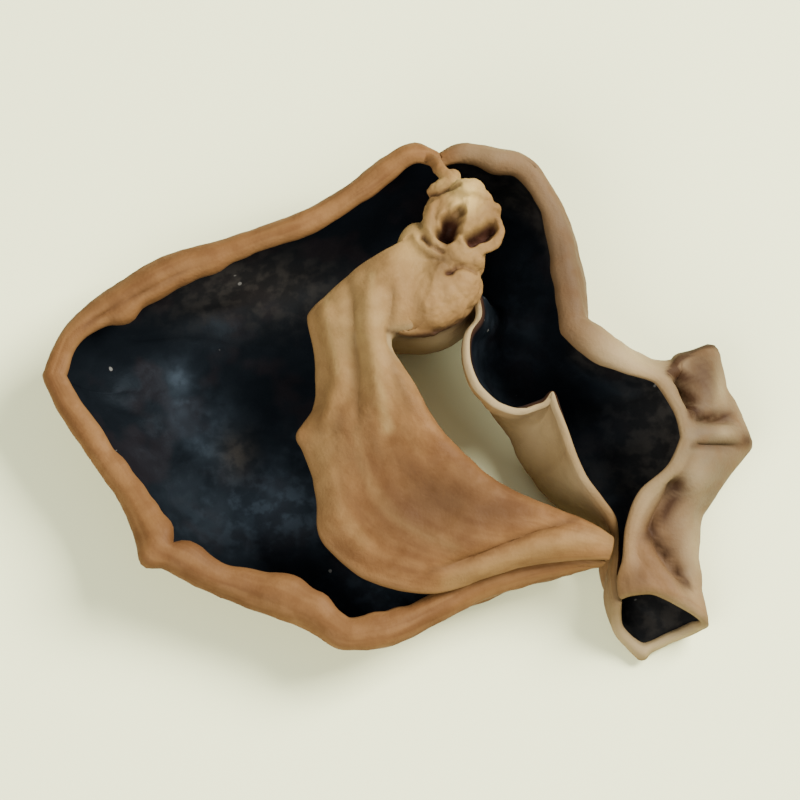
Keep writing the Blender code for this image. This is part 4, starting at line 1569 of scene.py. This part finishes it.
    def waves(self, surface: Surface) -> Array:
        """The waves and wrinkles of each part of the sheet.

        Args:
            surface: The surface.

        Returns:
            How far each point is lifted towards the tan side.
        """
        points, rows, columns = surface.points, surface.rows, surface.columns
        floor = between(columns, (RIM + 1.2, FOLD - 1.0), 1.5)
        broad = self.floor_calm + (1 - self.floor_calm) * between(rows, (1.5, NECK - 1.5), 2.0)
        flap = between(columns, (FOLD + 0.5, EDGE + 1), 1.0) * between(rows, (1.0, NECK), 2.0)
        lip = between(columns, (-1.0, RIM + 0.7), 0.8) * held(surface.edge_distance() / self.lip_edge)
        lip = lip * np.where(rows > POUCH + 0.5, self.strand_share, 1.0)
        wall = between(columns, (RIM + 0.9, FLOOR), 1.0) * between(rows, (0.5, LAST - 5.0), 1.0)
        return (
            floor * (broad * self.floor_waves.over(points) + self.floor_ripples.over(points))
            + flap * self.flap_ripples.over(points)
            + lip * self.lip_strands.over(surface.strips(1.3, 2.4))
            + wall * (self.wall_folds.over(surface.strips(0.9, 0.35)) + self.wall_ripples.over(points))
            + self.all_ripples.over(points)
        )

    def grid(self, points: Array) -> tuple[Object, Order]:
        """A grid primitive whose vertices are moved onto the middle surface.

        Args:
            points: The surface's points.

        Returns:
            The sheet, still without thickness, and its vertices' rows and columns.
        """
        rows, columns = points.shape[:2]
        bpy.ops.mesh.primitive_grid_add(x_subdivisions=columns - 1, y_subdivisions=rows - 1, size=1.0)
        sheet = bpy.context.object
        rename(sheet, self.name)
        shares = read_vectors(sheet.data.vertices, "co") + 0.5
        column_of = np.round(shares[:, 0] * (columns - 1)).astype(int)
        row_of = np.round(shares[:, 1] * (rows - 1)).astype(int)
        write_points(sheet.data, points[row_of, column_of])
        return sheet, (row_of, column_of)

    def thinned(self, surface: Surface, distance: Array) -> Array:
        """How thick the sheet is, rounded off at the free edge and thinner where the real one is.

        Args:
            surface: The surface.
            distance: How far each point is from the free edge.

        Returns:
            For each point, a share of the whole thickness.
        """
        rows, columns = surface.rows, surface.columns
        near_tip, narrow = held(1 - rows / 2), held((rows - NECK) / 2)
        near_neck, pouch = held(1 - np.abs(rows - NECK) / 2), held((rows - POUCH) / 2)
        inner_edge, fold = held(1 - (EDGE - columns) / 2), held(1 - (EDGE - columns) / 4)
        outer_edge = held(1 - columns / 2)
        parts = np.broadcast_arrays(near_tip, narrow * inner_edge, pouch * outer_edge, near_neck * fold)
        share = 1 - (1 - self.thin_share) * np.maximum.reduce(parts)
        inside = held(distance / (share * self.thickness / 2))
        return share * np.maximum(np.sqrt(1 - (1 - inside) ** 2), self.edge_share)

    def thicken(self, sheet: Object, shares: Array) -> None:
        """Gives the sheet its thickness.

        Args:
            sheet: The sheet.
            shares: Each vertex's share of the whole thickness.
        """
        group = sheet.vertex_groups.new(name="thickness")
        for index, value in enumerate(shares):
            group.add([index], float(value), "REPLACE")
        solid = sheet.modifiers.new("thickness", "SOLIDIFY")
        solid.thickness = self.thickness * MM
        solid.offset = 0
        solid.vertex_group = group.name
        solid.material_offset = Side.TAN.value
        solid.material_offset_rim = Side.TAN.value
        apply_modifiers(sheet)
        sheet.vertex_groups.clear()

    def roughen(self, sheet: Object, distance: Array) -> None:
        """Puckers each skin in its own way, and presses the underside flat where it rests.

        Args:
            sheet: The sheet, whose second half of vertices is the tan skin.
            distance: How far each vertex of one skin is from the free edge.
        """
        places, facing = read_points(sheet.data), read_normals(sheet.data)
        half = len(places) // 2
        calm = np.clip(distance / self.calm_width, CALMEST, 1.0)
        for skin, puckers in ((slice(half), self.dark_puckers), (slice(half, None), self.tan_puckers)):
            bumps = sum(wave.over(places[skin]) for wave in puckers)
            places[skin] += (calm * bumps)[:, None] * facing[skin]
        places[:, 2] = np.maximum(places[:, 2], 0.0)
        write_points(sheet.data, places)
        smooth(sheet)

    def paint(self, mesh: Mesh, surface: Surface, distance: Array, order: Order) -> None:
        """Stores where the edge and the stains are, for the finishes.

        Args:
            mesh: The sheet's mesh.
            surface: The surface.
            distance: How far each point is from the free edge.
            order: Each vertex's row and column, for one skin.
        """
        rows, columns = np.tile(surface.along[order[0]], 2), np.tile(surface.across[order[1]], 2)
        spots = seen(read_points(mesh) - PLACED)
        write_attribute(mesh, "rim", np.tile(np.exp(-((distance / self.edge_width) ** 2))[order], 2))
        for name, stains in STAINS.items():
            write_attribute(mesh, name, stained(spots, rows, columns, stains))


@dataclass
class TornFoot:
    """The torn foot on the fold between the lobes: lumps and curls merged into one pitted skin.

    Attributes:
        voxel: The grain at which the parts are merged. The skin is then smoothed a few times.
        blend: How high above the sheet the foot starts to be eased into it.
        ray_height: A height above all of the ear.
        tube_end: How much of a curl's length each blunt end takes.
        tube_fullness: How fast a curl thins towards its ends.
        calm_from: Where the wrinkles begin, along x. They are whole calm_width further on.
        wide_pit: The half width from which a pit has steep sides.
        wrinkles: The wrinkles of the skin.
        warp: How the pits' outlines waver.
    """

    name: str = "torn_foot"
    voxel: float = 0.16
    smoothing: int = 9
    blend: float = 1.3
    ease_power: float = 1.2
    ray_height: float = 40.0
    tube_end: float = 0.08
    tube_fullness: float = 0.4
    calm_from: float = 0.5
    calm_width: float = 3.0
    wide_pit: float = 0.5
    wrinkles: tuple[Wave, ...] = (Wave(0.22, 2.2, 1.0), Wave(0.14, 1.0, 4.0), Wave(0.08, 0.5, 7.0))
    warp: Wave = Wave(0.3, 0.9, 2.0)

    def build(self, skin: Material, sheet: Object) -> Object:
        """Builds the foot with its finish, and eases it into the sheet that it grows from.

        Args:
            skin: The finish.
            sheet: The curled sheet.

        Returns:
            The foot.
        """
        parts = [self.ball(lump) for lump in LUMPS] + [self.tube(curl) for curl in CURLS]
        foot = parts[0]
        only(foot)
        for part in parts:
            part.select_set(True)
        bpy.ops.object.join()
        rename(foot, self.name)
        self.merge(foot)
        self.ease(foot, sheet)
        self.work(foot)
        foot.data.materials.clear()
        foot.data.materials.append(skin)
        return foot

    @staticmethod
    def ball(lump: Lump) -> Object:
        """One lump as a stretched ball.

        Args:
            lump: The lump.

        Returns:
            The ball.
        """
        bpy.ops.mesh.primitive_uv_sphere_add(segments=48, ring_count=24, radius=1.0)
        ball = bpy.context.object
        places = read_vectors(ball.data.vertices, "co") * np.array(lump.radii)
        write_points(ball.data, places + drawn(lump.centre) + PLACED)
        return ball

    def tube(self, curl: Curl) -> Object:
        """One curl as a round tube with round ends.

        Args:
            curl: The curl.

        Returns:
            The tube, as a mesh.
        """
        line = smooth_line(tuple(tuple(drawn(point)) for point in curl.path), 5)
        bpy.ops.curve.primitive_nurbs_path_add()
        tube = bpy.context.object
        shape = tube.data
        shape.splines.clear()
        run = shape.splines.new("POLY")
        run.points.add(len(line) - 1)
        for point, place, end in zip(run.points, line, np.linspace(0, 1, len(line))):
            point.co = (*((place + PLACED) * MM), 1.0)
            within_ends = min(max(end, self.tube_end), 1 - self.tube_end)
            point.radius = math.sin(math.pi * within_ends) ** self.tube_fullness
        shape.bevel_depth = curl.radius * MM
        shape.bevel_resolution = 4
        shape.use_fill_caps = True
        only(tube)
        bpy.ops.object.convert(target="MESH")
        return bpy.context.object

    def merge(self, foot: Object) -> None:
        """Melts the parts into one smooth skin.

        Args:
            foot: The parts, joined.
        """
        melt = foot.modifiers.new("melt", "REMESH")
        melt.mode = "VOXEL"
        melt.voxel_size = self.voxel * MM
        soften = foot.modifiers.new("soften", "SMOOTH")
        soften.factor = 0.5
        soften.iterations = self.smoothing
        apply_modifiers(foot)

    def ease(self, foot: Object, sheet: Object) -> None:
        """Lowers the foot's skin where it is close above the sheet, so that the two run into each other.

        Args:
            foot: The foot.
            sheet: The curled sheet.
        """
        faces = [tuple(face.vertices) for face in sheet.data.polygons]
        tree = BVHTree.FromPolygons([Vector(place) for place in read_points(sheet.data)], faces)
        places, facing = read_points(foot.data), read_normals(foot.data)
        for place, up in zip(places, facing[:, 2]):
            below = tree.ray_cast(Vector((place[0], place[1], self.ray_height)), Vector(-UP))[0]
            if below is None or up < 0.0:
                continue
            over = place[2] - below.z
            if 0 < over < self.blend:
                place[2] = below.z + over * (over / self.blend) ** self.ease_power
        write_points(foot.data, places)

    def work(self, foot: Object) -> None:
        """Wrinkles the skin, sinks the pits and stores their painted shade and where the stains are.

        Args:
            foot: The foot.
        """
        mesh = foot.data
        places, facing = read_points(mesh), read_normals(mesh)
        raw = places - PLACED
        calm = np.clip((raw[:, 0] - self.calm_from) / self.calm_width, CALMEST, 1.0)
        places = places + (calm * sum(wave.over(raw) for wave in self.wrinkles))[:, None] * facing
        spots = seen(raw)
        pit_shade, sunk = np.zeros(len(places)), np.zeros(len(places))
        upward = held(facing[:, 2] * 2.0)
        warp = self.warp.over(raw)
        for pit in PITS:
            away, _ = near_line(spots, np.array([pit.start, pit.end]))
            steep = 3 if pit.radius > self.wide_pit else 2
            inside = np.exp(-((away / pit.radius * (1 + warp)) ** steep))
            sunk = np.maximum(sunk, pit.depth * inside * upward)
            pit_shade = np.maximum(pit_shade, pit.stain * held(1.6 * inside - 0.2) * upward)
        places[:, 2] -= sunk
        write_points(mesh, places)
        for name in ("cream_and_highlight", "umber_and_shade", "ash", "crest"):
            write_attribute(mesh, name, stained(spots, *FOOT_PLACE, STAINS[name]))
        write_attribute(mesh, "pit_shade", pit_shade)
        smooth(foot)


@dataclass
class Studio:
    """The pale floor, the soft lights and the camera.

    Attributes:
        window: How much of the ear's plane the camera sees, in millimetres.
        distance: How far off the camera is, in millimetres.
        aim_height: The height that it points at, in millimetres.
        clips: The nearest and furthest things that it sees, in metres.
        floor_size: The floor's width, in metres.
    """

    window: float = 87.4
    distance: float = 900.0
    aim_height: float = 8.0
    sensor: float = 36.0
    clips: Pair = (0.01, 20.0)
    floor_size: float = 4.0
    lamps: tuple[Lamp, ...] = (
        Lamp("key", (0.56, 0.26, 0.58), 0.42, 25.0),
        Lamp("fill", (-0.30, -0.50, 0.60), 0.6, 10.0),
    )
    sky_tone: Tone = Tone(232, 238, 246)
    sky_strength: float = 0.5

    def build(self) -> None:
        """Sets the stage round the ear."""
        self.floor()
        for lamp in self.lamps:
            self.light(lamp)
        self.sky()
        self.camera()

    def floor(self) -> None:
        """Lays a wide plane under the ear."""
        bpy.ops.mesh.primitive_plane_add(size=self.floor_size)
        floor = bpy.context.object
        floor.name = "floor"
        floor.data.materials.append(StageFinish().material())

    @staticmethod
    def light(lamp: Lamp) -> None:
        """Hangs one light.

        Args:
            lamp: The light.
        """
        bpy.ops.object.light_add(type="AREA", location=lamp.place)
        light = bpy.context.object
        light.name = lamp.name
        light.data.size = lamp.size
        light.data.energy = lamp.power
        light.data.color = lamp.tone.linear()[:3]
        light.rotation_mode = "QUATERNION"
        light.rotation_quaternion = (-Vector(lamp.place)).to_track_quat("-Z", "Y")

    def sky(self) -> None:
        """Makes an even pale sky."""
        world = bpy.data.worlds.new("sky")
        world.use_nodes = True
        ground = world.node_tree.nodes["Background"]
        ground.inputs["Color"].default_value = self.sky_tone.linear()
        ground.inputs["Strength"].default_value = self.sky_strength
        bpy.context.scene.world = world

    def camera(self) -> None:
        """Sets up a long lens that leans as the eye of the drawing does."""
        aim = drawn((0.0, 0.0, self.aim_height)) + PLACED
        back = np.array([0.0, -math.sin(LEAN), math.cos(LEAN)])
        bpy.ops.object.camera_add(location=Vector((aim + back * self.distance) * MM))
        camera = bpy.context.object
        camera.name = "camera"
        camera.rotation_mode = "QUATERNION"
        camera.rotation_quaternion = Vector(-back).to_track_quat("-Z", "Y")
        camera.data.sensor_width = self.sensor
        camera.data.lens = self.sensor * self.distance / self.window
        camera.data.clip_start, camera.data.clip_end = self.clips
        bpy.context.scene.camera = camera


def settle(piece: Object) -> None:
    """Ties a finished piece to the frame.

    Args:
        piece: The piece.
    """
    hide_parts(NODE)
    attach(piece, "root")
    LOG.info("%s: %d faces", piece.name, len(piece.data.polygons))


def main() -> None:
    """Builds the dressed ear on its stage."""
    logging.basicConfig(level=logging.INFO, format="%(name)s: %(message)s")
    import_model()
    bpy.ops.object.select_all(action="DESELECT")
    effects = Effects()
    tan = TanSkin()
    sheet = CurledSheet().build(DarkSkin().material(effects), tan.material(effects, "tan_skin", torn=False))
    settle(sheet)
    settle(TornFoot().build(tan.material(effects, "foot_skin", torn=True), sheet))
    Studio().build()


if __name__ == "__main__":
    main()
